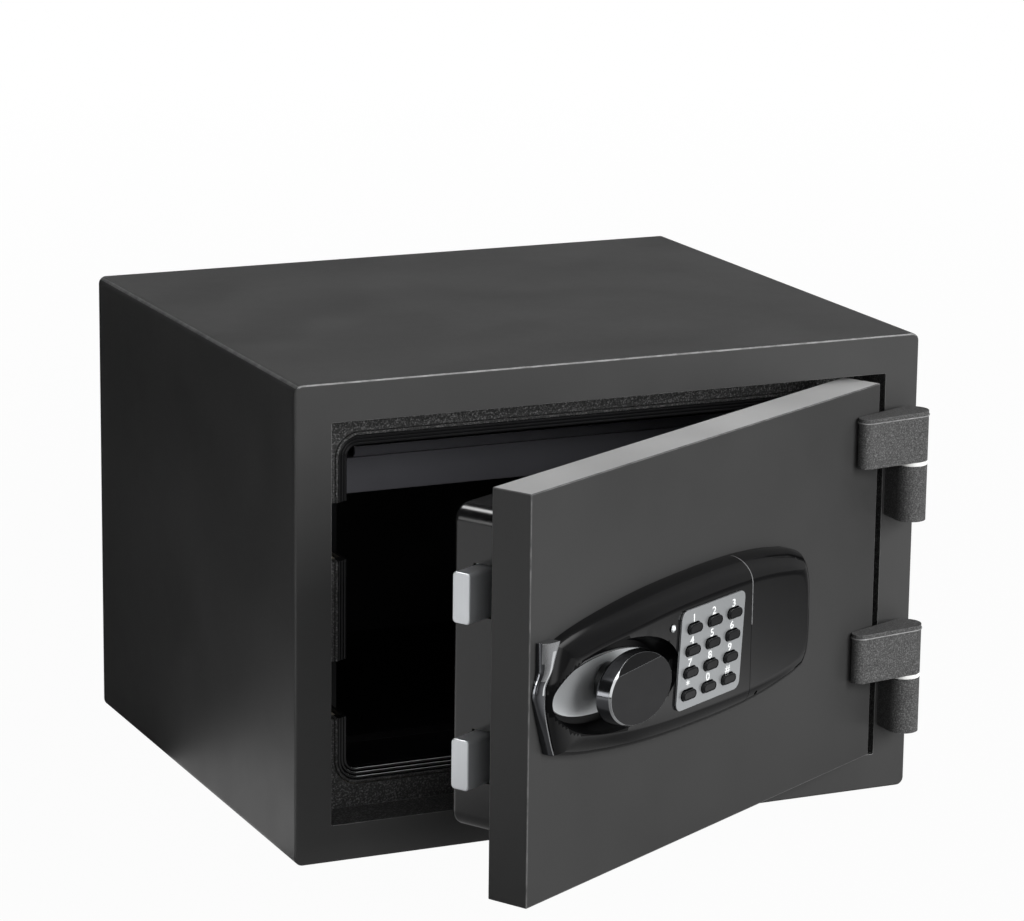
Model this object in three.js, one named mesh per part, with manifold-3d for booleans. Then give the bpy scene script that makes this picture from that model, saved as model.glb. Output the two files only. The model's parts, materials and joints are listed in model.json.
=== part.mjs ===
import * as THREE from 'three';
import { mergeVertices } from 'three/addons/utils/BufferGeometryUtils.js';
import Module from 'manifold-3d';

const wasm = await Module();
wasm.setup();

// A small fire-resistant safe with its door standing ajar. Millimetres, +Z up.
// The origin is the middle of the cabinet's underside. The door's pieces are drawn as they
// lie when it is shut, and the whole door is then swung about the hinge pins.

// Cabinet
const bodyWidth = 424;
const bodyDepth = 362;
const bodyHeight = 300;
const sheet = 2;                  // steel of the wrapper, front and back
const longEdgeRadius = 5;         // bend along the cabinet's four long edges
const rimRadius = 1.5;            // eased edge round the front and the back
const fit = 0.3;                  // clearance between pieces that seat on each other

// Front frame and its rebate
const sideRail = 23.5;
const bottomRail = 23.5;
const topRail = 24.5;
const rebateDepth = 30;
const shoulderWidth = 14;         // steel step that the shut door meets
const shoulderCornerRadius = 16;

// Ridged mouth of the liner
const ridgeCount = 4;
const ridgeWidth = 2.3;
const ridgeStep = 1.1;
const mouthDepth = 9;

// Liner
const linerWall = 2;
const throatDepth = 53;           // from the shoulder to the compartment's mouth
const compartmentWidth = 304;
const compartmentFloor = 51;
const compartmentRoof = 54;       // fill and steel over the compartment's ceiling
const compartmentDepth = 219;
const compartmentCornerRadius = 8;

// Drawer and its runners
const drawerEndGap = 6;           // from each end of the front to the compartment's side
const drawerFrontHeight = 23;
const drawerFrontThickness = 2.5;
const drawerLipHeight = 9.5;
const drawerLipInset = 6.5;       // the lip is shorter than the front by this at each end
const drawerLipSetback = 1;
const drawerHeadroom = 4.7;       // from the lip to the compartment's ceiling
const drawerDepth = 190;
const drawerTrayInset = 6;        // the tray is narrower than the front by this on each side
const drawerWall = 1.8;
const drawerFlangeReach = 6;      // side flange of the tray that rides on the runner
const drawerFlangeThickness = 2;
const drawerFlangeDrop = 1;       // flange below the front's top edge
const runnerThickness = 2;
const runnerLeg = 9;
const runnerLength = 182;

// Door
const doorGap = 3.5;              // between the door's edges and the frame
const doorThickness = 27.5;
const doorSheet = 2;
const doorRestAngle = THREE.MathUtils.degToRad(29);
const backPlateThickness = 2;
const sealThickness = 1.8;
const sealWidth = 11;

// Plug on the door's back
const plugInsetLatch = 31;        // from the door's free edge
const plugInsetHinge = 26;
const plugInsetTop = 24;
const plugInsetBottom = 25.5;
const plugDepth = 51;
const plugWall = 2.5;
const plugCornerRadius = 10;
const plugEdgeRadius = 4;
const plugFillWidth = 200;        // insulation in the plug, on the hinge side

// Hinges
const hingeOut = 12;              // pin axis beyond the rebate's edge
const hingeForward = 15.5;        // pin axis in front of the frame
const hingeSpacing = 140;
const barrelRadius = 10;
const pinRadius = 4;
const knuckleHeight = 36;
const knuckleChamfer = 2;
const washerThickness = 2.7;
const wingHeight = 32;
const wingTipRadius = 4;
const wingReach = 40.5;           // from the pin axis to the middle of the wing's round tip
const wingRoof = 5;               // metal left over the pin's blind hole
const wingFrameGap = 1.6;         // between the shut wing and the frame

// Bolts and the works inside the plug
const boltHeight = 30.6;
const boltThickness = 12.7;
const boltCornerRadius = 2.6;
const boltSpacing = 100;
const boltSetback = 23;           // bolt's front face behind the door plate
const boltProjection = 20.6;      // beyond the plug's end, drawn back as the door stands ajar
const boltTail = 54;              // length inside the plug
const boltThrow = 15;
const boltWindowGap = 0.5;
const boltNotchGap = 3.2;         // above and below each bolt in the shoulder and the mouth
const boltSwingGap = 7.9;         // beyond the bolt's end, for its arc as the door shuts
const guideLength = 12;
const guideWall = 3;
const keeperWall = 2;
const keeperClearance = 2;
const carriageWidth = 23;
const carriageThickness = 3;
const carriageOverhang = 8;       // beyond the bolts' middles
const camRadius = 16;
const camThickness = 3;
const drivePinRadius = 2.5;
const drivePinSlack = 0.5;        // play of the drive pin on each side of its slot
const camNotchDepth = 4.5;
const plungerRadius = 2.4;
const plungerReach = 2;           // bare plunger between the cam and the coil
const solenoidSize = 16;
const solenoidClearance = 1.4;    // under the upper bolt

// Lock housing on the door's face
const knobInset = 67;             // spindle from the door's free edge
const lockDrop = 1;               // spindle below the door's middle
const housingHeight = 19;
const housingLeftHeight = 13;
const housingHalfHeight = 47.5;
const housingEndHalf = 33;        // half height at the free end
const housingShoulder = 15;       // width of its rounded edge
const housingTaperLength = 89;    // it is full height this far from the free end
const housingLeft = -58;          // ends of the housing from the spindle
const housingRight = 208;
const housingFloor = 2;
const housingShell = 2.2;
const coverSeam = 132;            // seam of the right-hand cover from the spindle
const coverGap = 0.4;
const wellHalfLength = 56;
const wellHalfHeight = 27;
const wellFloor = 4;
const inlayHalfLength = 50;
const inlayHalfHeight = 17.5;
const inlayThickness = 1.2;

// Knob, spindle and grip
const knobHalfWidth = 31;
const knobHalfHeight = 22.5;
const knobUnderside = 21;
const knobFront = 32;
const knobStemRadius = 12;
const knobSocketDepth = 6;
const spindleRadius = 5;
const spindleGap = 0.5;
const gripHeight = 10.5;
const gripThickness = 7.5;
const endBow = 8;                 // how far the middle of the housing's free end stands out

// Keypad
const keypadOffset = 87;          // middle of the keypad from the spindle
const keypadRise = 2.5;
const keypadHalfWidth = 34;
const keypadHalfHeight = 29;
const keypadSlant = 0.08;         // sideways lean of its ends, as a share of the height
const keypadThickness = 1.2;
const keypadCornerRadius = 5;
const keyHalfWidth = 6.9;
const keyHalfHeight = 3.35;
const keyLean = 0.135;            // sideways lean of the columns of keys
const keyPitchX = 21;
const keyPitchZ = 13.2;
const keyRise = 2.4;              // above the keypad plate
const keyDepth = 3.4;             // below the keypad plate
const keyDrop = 5.3;              // lowest row nearer the plate's edge than the highest
const keyGap = 0.35;
const keyTravel = 1;
const matThickness = 1.5;
const boardThickness = 1.6;
const boardMargin = 1.8;          // from the keypad plate's edge to the opening under it
const lensRadius = 2.4;
const lensStemRadius = 1.6;
const lensRise = 1.6;
const lensInset = 5;              // lens from the keypad's edge
const lensLift = 21;              // lens above the keypad's middle

// Battery bay
const cellRadius = 5.2;
const cellLength = 44.5;
const cellCount = 4;
const cellPitch = 11.2;
const trayWall = 1.2;

// Places that follow from the sizes
const front = -bodyDepth / 2;
const back = bodyDepth / 2;
const halfBody = bodyWidth / 2;
const rebateRight = halfBody - sideRail;
const rebateBottom = bottomRail;
const rebateTop = bodyHeight - topRail;
const shoulderFace = front + rebateDepth;
const ridgeBand = ridgeCount * ridgeWidth;
const mouthBack = shoulderFace + mouthDepth;
const throatBack = shoulderFace + throatDepth;
const compartmentBack = throatBack + compartmentDepth;
const compartmentHalf = compartmentWidth / 2;
const compartmentCeiling = bodyHeight - compartmentRoof;
const doorLeft = -rebateRight + doorGap;
const doorRight = rebateRight - doorGap;
const doorBottom = rebateBottom + doorGap;
const doorTop = rebateTop - doorGap;
const doorBack = front + doorThickness;
const doorMiddle = (doorBottom + doorTop) / 2;
const plugLeft = doorLeft + plugInsetLatch;
const plugRight = doorRight - plugInsetHinge;
const plugBottom = doorBottom + plugInsetBottom;
const plugTop = doorTop - plugInsetTop;
const plugBack = doorBack + fit + plugDepth;
const hingeX = rebateRight + hingeOut;
const hingeY = front - hingeForward;
const boltFront = doorBack + boltSetback;
const boltBack = boltFront + boltThickness;
const boltEnd = plugLeft - boltProjection;
const boltLevels = [doorMiddle + boltSpacing / 2, doorMiddle - boltSpacing / 2];
const notchEdge = boltEnd - boltSwingGap;
const spindleX = doorLeft + knobInset;
const spindleZ = doorMiddle - lockDrop;
const faceSegments = 32;

// Materials
function paint(colour, roughness, metalness) {
  return new THREE.MeshStandardMaterial({ color: colour, roughness, metalness });
}
const bodyPaint = paint(0x3c3c3d, 0.55, 0.3);
const texturedPaint = paint(0x4c4c4c, 0.75, 0.2);
const doorPaint = paint(0x424243, 0.5, 0.3);
const fill = paint(0xb9b4a8, 0.95, 0);
const linerPlastic = paint(0x1c1c1d, 0.35, 0);
const glossPlastic = paint(0x0c0c0d, 0.12, 0);
const drawerPlastic = paint(0x2d2d30, 0.45, 0);
const satinChrome = paint(0xc6c9cb, 0.28, 0.95);
const brightChrome = paint(0xd8dadc, 0.1, 1);
const zincSteel = paint(0xa3a6a8, 0.4, 0.9);
const nylon = paint(0xf0f0ee, 0.5, 0);
const rubber = paint(0x151515, 0.85, 0);
const keyRubber = paint(0x2e3338, 0.6, 0);
const satinSilver = paint(0x8f9498, 0.35, 0.8);
const boardGreen = paint(0x1f5a3a, 0.6, 0);
const lensClear = paint(0xe9f2f4, 0.1, 0);
const cellSkin = paint(0x3a3f45, 0.4, 0.4);

// Outlines are lists of points in X and Z, anticlockwise as seen from the front
function roundedBox(left, right, bottom, top, radius, steps = 6) {
  const corners = [
    [right - radius, bottom + radius, -Math.PI / 2],
    [right - radius, top - radius, 0],
    [left + radius, top - radius, Math.PI / 2],
    [left + radius, bottom + radius, Math.PI],
  ];
  return corners.flatMap(([x, z, start]) => arcPoints(x, z, radius, start, start + Math.PI / 2, steps));
}

function arcPoints(x, z, radius, start, end, steps) {
  const points = [];
  for (let i = 0; i <= steps; i++) {
    const angle = start + ((end - start) * i) / steps;
    points.push(new THREE.Vector2(x + radius * Math.cos(angle), z + radius * Math.sin(angle)));
  }
  return points;
}

function oval(x, z, halfWidth, halfHeight, steps = faceSegments) {
  const points = [];
  for (let i = 0; i < steps; i++) {
    const angle = (2 * Math.PI * i) / steps;
    points.push(new THREE.Vector2(x + halfWidth * Math.cos(angle), z + halfHeight * Math.sin(angle)));
  }
  return points;
}

function pill(x, z, halfWidth, halfHeight, steps = 6) {
  const straight = halfWidth - halfHeight;
  return [
    ...arcPoints(x + straight, z, halfHeight, -Math.PI / 2, Math.PI / 2, steps),
    ...arcPoints(x - straight, z, halfHeight, Math.PI / 2, (3 * Math.PI) / 2, steps),
  ];
}

// Moves each side of an outline inwards by the same distance
function insetOutline(outline, distance) {
  const count = outline.length;
  return outline.map((point, i) => {
    const before = outline[(i + count - 1) % count];
    const after = outline[(i + 1) % count];
    const first = new THREE.Vector2(before.y - point.y, point.x - before.x).normalize();
    const second = new THREE.Vector2(point.y - after.y, after.x - point.x).normalize();
    const middle = first.clone().add(second).normalize();
    const reach = distance / Math.max(middle.dot(first), 0.5);
    return point.clone().addScaledVector(middle, reach);
  });
}

// Scales an outline about its middle, so that its ends and its sides all move in by the same distance
function shrinkOutline(outline, distance) {
  const box = new THREE.Box2().setFromPoints(outline);
  const middle = box.getCenter(new THREE.Vector2());
  const size = box.getSize(new THREE.Vector2());
  const scale = new THREE.Vector2(1 - (2 * distance) / size.x, 1 - (2 * distance) / size.y);
  return outline.map((point) => point.clone().sub(middle).multiply(scale).add(middle));
}

// A closed solid through copies of one outline, each at its own height and inset
function loft(outline, levels, shape = insetOutline) {
  const count = outline.length;
  const positions = [];
  const faces = [];
  for (const level of levels) {
    for (const point of shape(outline, level.inset ?? 0)) {
      positions.push(point.x, point.y, level.at);
    }
  }
  for (let ring = 0; ring < levels.length - 1; ring++) {
    for (let i = 0; i < count; i++) {
      const a = ring * count + i;
      const b = ring * count + ((i + 1) % count);
      faces.push(a, b, b + count, a, b + count, a + count);
    }
  }
  const lastRing = (levels.length - 1) * count;
  const lower = shape(outline, levels[0].inset ?? 0);
  const upper = shape(outline, levels[levels.length - 1].inset ?? 0);
  for (const [a, b, c] of THREE.ShapeUtils.triangulateShape(lower, [])) {
    faces.push(a, c, b);
  }
  for (const [a, b, c] of THREE.ShapeUtils.triangulateShape(upper, [])) {
    faces.push(lastRing + a, lastRing + b, lastRing + c);
  }
  const geometry = new THREE.BufferGeometry();
  geometry.setAttribute('position', new THREE.Float32BufferAttribute(positions, 3));
  geometry.setIndex(faces);
  return geometry;
}

// The same, with the outline in X and Z and the levels counted along Y from back to front
function loftY(outline, stations, shape = insetOutline) {
  const levels = stations.map(({ y, inset }) => ({ at: -y, inset }));
  return loft(outline, levels, shape).rotateX(Math.PI / 2);
}

function slabY(outline, yFront, yBack) {
  return loftY(outline, [{ y: yBack }, { y: yFront }]);
}

// On the door's face, heights are counted outwards from the face
function loftOnFace(outline, levels, shape = insetOutline) {
  return loftY(outline, levels.map(({ height, inset }) => ({ y: front - height, inset })), shape);
}

function slabOnFace(outline, low, high) {
  return loftOnFace(outline, [{ height: low }, { height: high }]);
}

// With the outline in X and Y and its height along Z
function slabZ(outline, bottom, top) {
  return loft(outline, [{ at: bottom }, { at: top }]);
}

function boxBetween(x0, x1, y0, y1, z0, z1) {
  const geometry = new THREE.BoxGeometry(x1 - x0, y1 - y0, z1 - z0);
  return geometry.translate((x0 + x1) / 2, (y0 + y1) / 2, (z0 + z1) / 2);
}

function rodY(x, z, radius, yFront, yBack, steps = 24) {
  return slabY(oval(x, z, radius, radius, steps), yFront, yBack);
}

function rodZ(x, y, radius, bottom, top, steps = 32) {
  return slabZ(oval(x, y, radius, radius, steps), bottom, top);
}

// Booleans
function toSolid(geometry) {
  const plain = geometry.clone();
  plain.deleteAttribute('normal');
  plain.deleteAttribute('uv');
  const merged = mergeVertices(plain, 1e-5);
  return new wasm.Manifold(new wasm.Mesh({
    numProp: 3,
    vertProperties: new Float32Array(merged.attributes.position.array),
    triVerts: new Uint32Array(merged.index.array),
  }));
}

function toGeometry(solid) {
  const mesh = solid.getMesh();
  const geometry = new THREE.BufferGeometry();
  geometry.setAttribute('position', new THREE.BufferAttribute(new Float32Array(mesh.vertProperties), 3));
  geometry.setIndex(new THREE.BufferAttribute(new Uint32Array(mesh.triVerts), 1));
  return geometry;
}

function join(...geometries) {
  return toGeometry(geometries.map(toSolid).reduce((sum, next) => sum.add(next)));
}

function cut(body, ...tools) {
  return toGeometry(tools.map(toSolid).reduce((rest, tool) => rest.subtract(tool), toSolid(body)));
}

function common(body, tool) {
  return toGeometry(toSolid(body).intersect(toSolid(tool)));
}

// Scene
const safe = new THREE.Group();
const cabinet = new THREE.Group();
const doorSwing = new THREE.Group();
const door = new THREE.Group();
doorSwing.position.set(hingeX, hingeY, 0);
doorSwing.rotation.z = doorRestAngle;
door.position.set(-hingeX, -hingeY, 0);
doorSwing.add(door);
safe.add(cabinet, doorSwing);

function add(group, name, geometry, material) {
  const mesh = new THREE.Mesh(geometry, material);
  mesh.name = name;
  group.add(mesh);
  return mesh;
}

// Outlines of the cabinet
const bodyOutline = roundedBox(-halfBody, halfBody, 0, bodyHeight, longEdgeRadius);
const rebateOutline = roundedBox(-rebateRight, rebateRight, rebateBottom, rebateTop, 1);
const shoulderOutline = roundedBox(
  -rebateRight + shoulderWidth, rebateRight - shoulderWidth,
  rebateBottom + shoulderWidth, rebateTop - shoulderWidth, shoulderCornerRadius,
);
const mouthOutline = insetOutline(shoulderOutline, fit);
const throatOutline = insetOutline(shoulderOutline, ridgeBand);
const compartmentOutline = roundedBox(
  -compartmentHalf, compartmentHalf, compartmentFloor, compartmentCeiling, compartmentCornerRadius,
);

function easedRim(yFlat, yRim) {
  const side = Math.sign(yRim - yFlat);
  const start = yRim - side * rimRadius;
  const stations = [{ y: yFlat, inset: 0 }];
  for (const turn of [0, 1, 2, 3]) {
    const angle = (turn / 3) * (Math.PI / 2);
    stations.push({
      y: start + side * rimRadius * Math.sin(angle),
      inset: rimRadius * (1 - Math.cos(angle)),
    });
  }
  return side < 0 ? stations : stations.reverse();
}

// Bolt slots in the shoulder, the mouth and the throat, wide enough for the swinging bolts
function boltNotches(yFront, yBack) {
  const reach = boltHeight / 2 + boltNotchGap;
  return boltLevels.map((z) => boxBetween(notchEdge, 0, yFront, yBack, z - reach, z + reach));
}

function outerShell() {
  const inner = insetOutline(bodyOutline, sheet);
  const over = 1;
  return cut(
    slabY(bodyOutline, front + sheet, back - sheet),
    slabY(inner, front + sheet - over, back - sheet + over),
  );
}

function frontFrame() {
  const over = 1;
  const plate = loftY(bodyOutline, easedRim(front + sheet, front));
  const collar = slabY(insetOutline(rebateOutline, -sheet), front + sheet / 2, shoulderFace + sheet);
  const opening = slabY(rebateOutline, front - over, shoulderFace);
  const throat = slabY(shoulderOutline, shoulderFace - over, shoulderFace + sheet + over);
  const notches = boltNotches(shoulderFace - over, shoulderFace + sheet + over);
  return cut(join(plate, collar), opening, throat, ...notches);
}

function backPanel() {
  return loftY(bodyOutline, easedRim(back - sheet, back));
}

// A steel pocket behind the shoulder. A drawn bolt swings in past its front lip and is thrown behind it.
function keeper(z) {
  const over = 1;
  const reach = boltHeight / 2 + boltNotchGap;
  const left = boltEnd - boltThrow - keeperClearance;
  const right = -rebateRight + shoulderWidth - fit;
  const rear = boltBack + keeperClearance;
  const low = z - reach;
  const high = z + reach;
  const shell = boxBetween(
    left - keeperWall, right, shoulderFace + sheet, rear + keeperWall, low - keeperWall, high + keeperWall,
  );
  const swing = boxBetween(notchEdge, right + over, shoulderFace, rear, low, high);
  const pocket = boxBetween(left, right + over, boltFront - keeperClearance, rear, low, high);
  return { shell, body: cut(shell, swing, pocket) };
}

// Outer faces of the liner, which the insulation is cast round
function linerBody(grow) {
  const wall = linerWall + grow;
  return join(
    slabY(insetOutline(throatOutline, -wall), mouthBack - grow, throatBack + wall),
    slabY(insetOutline(compartmentOutline, -wall), throatBack - grow, compartmentBack + wall),
  );
}

// One moulding: a stepped mouth inside the frame's shoulder, a throat for the plug, and the compartment
function liner() {
  const over = 1;
  const mouth = slabY(mouthOutline, shoulderFace, mouthBack + linerWall);
  const steps = [];
  for (let i = 1; i < ridgeCount; i++) {
    const outline = insetOutline(shoulderOutline, i * ridgeWidth);
    steps.push(slabY(outline, shoulderFace - over, shoulderFace + i * ridgeStep));
  }
  return cut(
    join(mouth, linerBody(0)),
    ...steps,
    slabY(throatOutline, shoulderFace - over, throatBack),
    slabY(compartmentOutline, throatBack - over, compartmentBack),
    ...boltNotches(shoulderFace - over, boltBack + keeperClearance),
  );
}

function bodyInsulation() {
  const over = 1;
  const mouthSpace = slabY(insetOutline(mouthOutline, -fit), front, mouthBack + linerWall + fit);
  const rebateSpace = slabY(insetOutline(rebateOutline, -sheet - fit), front, shoulderFace + sheet + fit);
  const pockets = boltLevels.map((z) => {
    const { shell } = keeper(z);
    shell.computeBoundingBox();
    const { min, max } = shell.boundingBox;
    return boxBetween(min.x - fit, 0, min.y - over, max.y + fit, min.z - fit, max.z + fit);
  });
  return cut(
    slabY(insetOutline(bodyOutline, sheet + fit), front + sheet + fit, back - sheet - fit),
    rebateSpace,
    mouthSpace,
    linerBody(fit),
    ...pockets,
  );
}

add(cabinet, 'outer_shell', outerShell(), bodyPaint);
add(cabinet, 'front_frame', frontFrame(), bodyPaint);
add(cabinet, 'back_panel', backPanel(), bodyPaint);
add(cabinet, 'body_insulation', bodyInsulation(), fill);
add(cabinet, 'compartment_liner', liner(), linerPlastic);
boltLevels.forEach((z, i) => {
  add(cabinet, `bolt_keeper_${['upper', 'lower'][i]}`, keeper(z).body, zincSteel);
});

// Drawer, hung on two angle runners under the compartment's ceiling
const drawerLipTop = compartmentCeiling - drawerHeadroom;
const drawerFrontTop = drawerLipTop - drawerLipHeight;
const drawerBottom = drawerFrontTop - drawerFrontHeight;
const drawerFlangeTop = drawerFrontTop - drawerFlangeDrop;
const drawerFlangeBottom = drawerFlangeTop - drawerFlangeThickness;
const drawerFrontBack = throatBack + drawerFrontThickness;
const drawerHalf = compartmentHalf - drawerEndGap;
const trayHalf = drawerHalf - drawerTrayInset;
const trayBack = drawerFrontBack + drawerDepth;

function drawer() {
  const over = 1;
  const lipHalf = drawerHalf - drawerLipInset;
  const flange = trayHalf + drawerFlangeReach;
  const panel = boxBetween(
    -drawerHalf, drawerHalf, throatBack, drawerFrontBack, drawerBottom, drawerFrontTop,
  );
  const lip = boxBetween(
    -lipHalf, lipHalf, throatBack + drawerLipSetback, drawerFrontBack, drawerFrontTop - over, drawerLipTop,
  );
  const start = drawerFrontBack - over;
  const tray = boxBetween(-trayHalf, trayHalf, start, trayBack, drawerBottom, drawerFlangeTop);
  const flanges = boxBetween(-flange, flange, start, trayBack, drawerFlangeBottom, drawerFlangeTop);
  const inside = boxBetween(
    -trayHalf + drawerWall, trayHalf - drawerWall, drawerFrontBack, trayBack - drawerWall,
    drawerBottom + drawerWall, drawerFlangeTop + over,
  );
  return cut(join(panel, lip, tray, flanges), inside);
}

function drawerRunner(side) {
  const wall = side * compartmentHalf;
  const thin = side * (compartmentHalf - runnerThickness);
  const leg = side * (compartmentHalf - runnerLeg);
  const top = drawerFlangeBottom - fit;
  const start = drawerFrontBack + fit;
  const end = start + runnerLength;
  const upright = boxBetween(Math.min(wall, thin), Math.max(wall, thin), start, end, top - runnerLeg, top);
  const shelf = boxBetween(Math.min(wall, leg), Math.max(wall, leg), start, end, top - runnerThickness, top);
  return join(upright, shelf);
}

add(cabinet, 'drawer', drawer(), drawerPlastic);
add(cabinet, 'drawer_runner_left', drawerRunner(-1), zincSteel);
add(cabinet, 'drawer_runner_right', drawerRunner(1), zincSteel);

// Hinges: each knuckle is fixed to the frame, and the wing above it turns with the door
const hingeLevels = [doorMiddle + hingeSpacing / 2, doorMiddle - hingeSpacing / 2];
const pinHole = pinRadius + fit;

function knuckle(z) {
  const outline = [
    ...arcPoints(hingeX, hingeY, barrelRadius, Math.PI, 2 * Math.PI, 16),
    new THREE.Vector2(hingeX + barrelRadius, front),
    new THREE.Vector2(hingeX - barrelRadius, front),
  ];
  const over = 1;
  const bottom = z - knuckleHeight;
  const block = loft(outline, [
    { at: bottom, inset: knuckleChamfer },
    { at: bottom + knuckleChamfer },
    { at: z },
  ]);
  const seat = boxBetween(
    hingeX - barrelRadius, hingeX + barrelRadius,
    front - knuckleChamfer - over, front, bottom + knuckleChamfer, z,
  );
  return cut(join(block, seat), rodZ(hingeX, hingeY, pinHole, bottom + knuckleChamfer, z + over));
}

function wing(z) {
  const bottom = z + washerThickness + fit;
  const over = 1;
  const seat = front - fit;
  const tipX = hingeX - wingReach;
  const tipY = seat - wingTipRadius;
  const slope = Math.atan2(hingeY - tipY, hingeX - tipX);
  const span = Math.hypot(hingeX - tipX, hingeY - tipY);
  const lean = slope - Math.asin((barrelRadius - wingTipRadius) / span) - Math.PI / 2;
  const outline = [
    ...arcPoints(tipX, tipY, wingTipRadius, Math.PI / 2, 2 * Math.PI + lean, 10),
    ...arcPoints(hingeX, hingeY, barrelRadius, lean, Math.PI / 2 + 0.2, 20),
    new THREE.Vector2(doorRight + doorGap / 2, front - wingFrameGap),
    new THREE.Vector2(doorRight, seat),
  ];
  return cut(
    slabZ(outline, bottom, bottom + wingHeight),
    rodZ(hingeX, hingeY, pinHole, bottom - over, bottom + wingHeight - wingRoof),
  );
}

hingeLevels.forEach((z, i) => {
  const place = ['upper', 'lower'][i];
  const bottom = z - knuckleHeight + knuckleChamfer + fit;
  const washer = cut(
    rodZ(hingeX, hingeY, barrelRadius, z, z + washerThickness),
    rodZ(hingeX, hingeY, pinHole, z - 1, z + washerThickness + 1),
  );
  const pinTop = z + washerThickness + fit + wingHeight - wingRoof - fit;
  add(cabinet, `hinge_knuckle_${place}`, knuckle(z), texturedPaint);
  add(cabinet, `hinge_pin_${place}`, rodZ(hingeX, hingeY, pinRadius, bottom, pinTop, 24), zincSteel);
  add(cabinet, `hinge_washer_${place}`, washer, nylon);
  add(door, `hinge_wing_${place}`, wing(z), texturedPaint);
});

// Door: a steel pan filled with insulation and closed by a back plate
function doorSkin() {
  const over = 1;
  return cut(
    boxBetween(doorLeft, doorRight, front, doorBack, doorBottom, doorTop),
    boxBetween(
      doorLeft + doorSheet, doorRight - doorSheet, front + doorSheet, doorBack + over,
      doorBottom + doorSheet, doorTop - doorSheet,
    ),
    rodY(spindleX, spindleZ, spindleRadius + spindleGap, front - over, front + doorSheet + over),
  );
}

function doorBackPlate() {
  const over = 1;
  const edge = doorSheet + fit;
  return cut(
    boxBetween(
      doorLeft + edge, doorRight - edge, doorBack - backPlateThickness, doorBack,
      doorBottom + edge, doorTop - edge,
    ),
    rodY(spindleX, spindleZ, spindleRadius + spindleGap, front, doorBack + over),
  );
}

function doorInsulation() {
  const edge = doorSheet + fit;
  return cut(
    boxBetween(
      doorLeft + edge, doorRight - edge, front + edge, doorBack - backPlateThickness - fit,
      doorBottom + edge, doorTop - edge,
    ),
    rodY(spindleX, spindleZ, spindleRadius + spindleGap, front, doorBack),
  );
}

const plugOutline = roundedBox(plugLeft, plugRight, plugBottom, plugTop, plugCornerRadius);

function plugStations(yFront, wall) {
  const radius = Math.max(plugEdgeRadius - wall, 0.5);
  const rear = plugBack - wall;
  const stations = [];
  for (const turn of [0, 1, 2, 3]) {
    const angle = (turn / 3) * (Math.PI / 2);
    stations.push({ y: rear - radius + radius * Math.cos(angle), inset: radius * (1 - Math.sin(angle)) });
  }
  return [...stations, { y: yFront, inset: 0 }];
}

function boltWindows(xFrom, xTo, gap) {
  return boltLevels.map((z) => boxBetween(
    xFrom, xTo, boltFront - gap, boltBack + gap, z - boltHeight / 2 - gap, z + boltHeight / 2 + gap,
  ));
}

function plugCover() {
  const over = 1;
  const shell = loftY(plugOutline, plugStations(doorBack + fit, 0));
  const hollow = loftY(insetOutline(plugOutline, plugWall), plugStations(doorBack + fit - over, plugWall));
  return cut(shell, hollow, ...boltWindows(plugLeft - over, plugLeft + plugWall + over, boltWindowGap));
}

function plugInsulation() {
  const edge = plugWall + fit;
  const block = loftY(insetOutline(plugOutline, edge), plugStations(doorBack + fit, edge));
  const hingeSide = boxBetween(
    plugRight - plugFillWidth, plugRight, doorBack, plugBack, plugBottom, plugTop,
  );
  return common(block, hingeSide);
}

function doorSeal() {
  const over = 1;
  const inner = insetOutline(plugOutline, -fit);
  const outer = insetOutline(plugOutline, -sealWidth);
  return cut(
    slabY(outer, doorBack + fit, doorBack + fit + sealThickness),
    slabY(inner, doorBack - over, doorBack + fit + sealThickness + over),
  );
}

add(door, 'door_skin', doorSkin(), doorPaint);
add(door, 'door_insulation', doorInsulation(), fill);
add(door, 'door_back_plate', doorBackPlate(), doorPaint);
add(door, 'door_plug_cover', plugCover(), glossPlastic);
add(door, 'plug_insulation', plugInsulation(), fill);
add(door, 'door_seal', doorSeal(), rubber);

// Bolts and the carriage that carries them
function bolt(z) {
  const length = boltProjection + boltTail;
  const outline = roundedBox(
    -boltThickness / 2, boltThickness / 2, -boltHeight / 2, boltHeight / 2, boltCornerRadius, 4,
  );
  const bar = loft(outline, [{ at: 0, inset: 0.6 }, { at: 0.6 }, { at: length }]);
  bar.rotateX(Math.PI / 2).rotateZ(Math.PI / 2);
  return bar.translate(boltEnd, (boltFront + boltBack) / 2, z);
}

function boltGuide(z) {
  const start = plugLeft + plugWall + fit;
  const reach = boltHeight / 2 + guideWall;
  const block = boxBetween(
    start, start + guideLength, boltFront - guideWall, boltBack + guideWall, z - reach, z + reach,
  );
  return cut(block, ...boltWindows(start - 1, start + guideLength + 1, fit));
}

const crank = boltThrow / 2 / Math.sin(Math.PI / 4);
const carriageX = spindleX + boltThrow / 2;
const carriageFront = boltBack + guideWall + fit;
const carriageBack = carriageFront + carriageThickness;
const camBack = boltFront - guideWall;
const camFront = camBack - camThickness;

function carriage() {
  const half = carriageWidth / 2;
  const top = boltLevels[0] + carriageOverhang;
  const bottom = boltLevels[1] - carriageOverhang;
  const plate = boxBetween(carriageX - half, carriageX + half, carriageFront, carriageBack, bottom, top);
  const slotHalf = drivePinRadius + drivePinSlack;
  const slotFoot = spindleZ + crank * Math.SQRT1_2;
  const slot = slabY(
    roundedBox(
      carriageX - slotHalf, carriageX + slotHalf,
      slotFoot - slotHalf, spindleZ + crank + slotHalf, slotHalf - 0.1, 4,
    ),
    carriageFront - 1, carriageBack + 1,
  );
  const studs = boltLevels.map((z) => boxBetween(
    carriageX - half, carriageX + half, boltBack + fit, carriageFront + carriageThickness / 2,
    z - carriageOverhang, z + carriageOverhang,
  ));
  return cut(join(plate, ...studs), slot);
}

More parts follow.
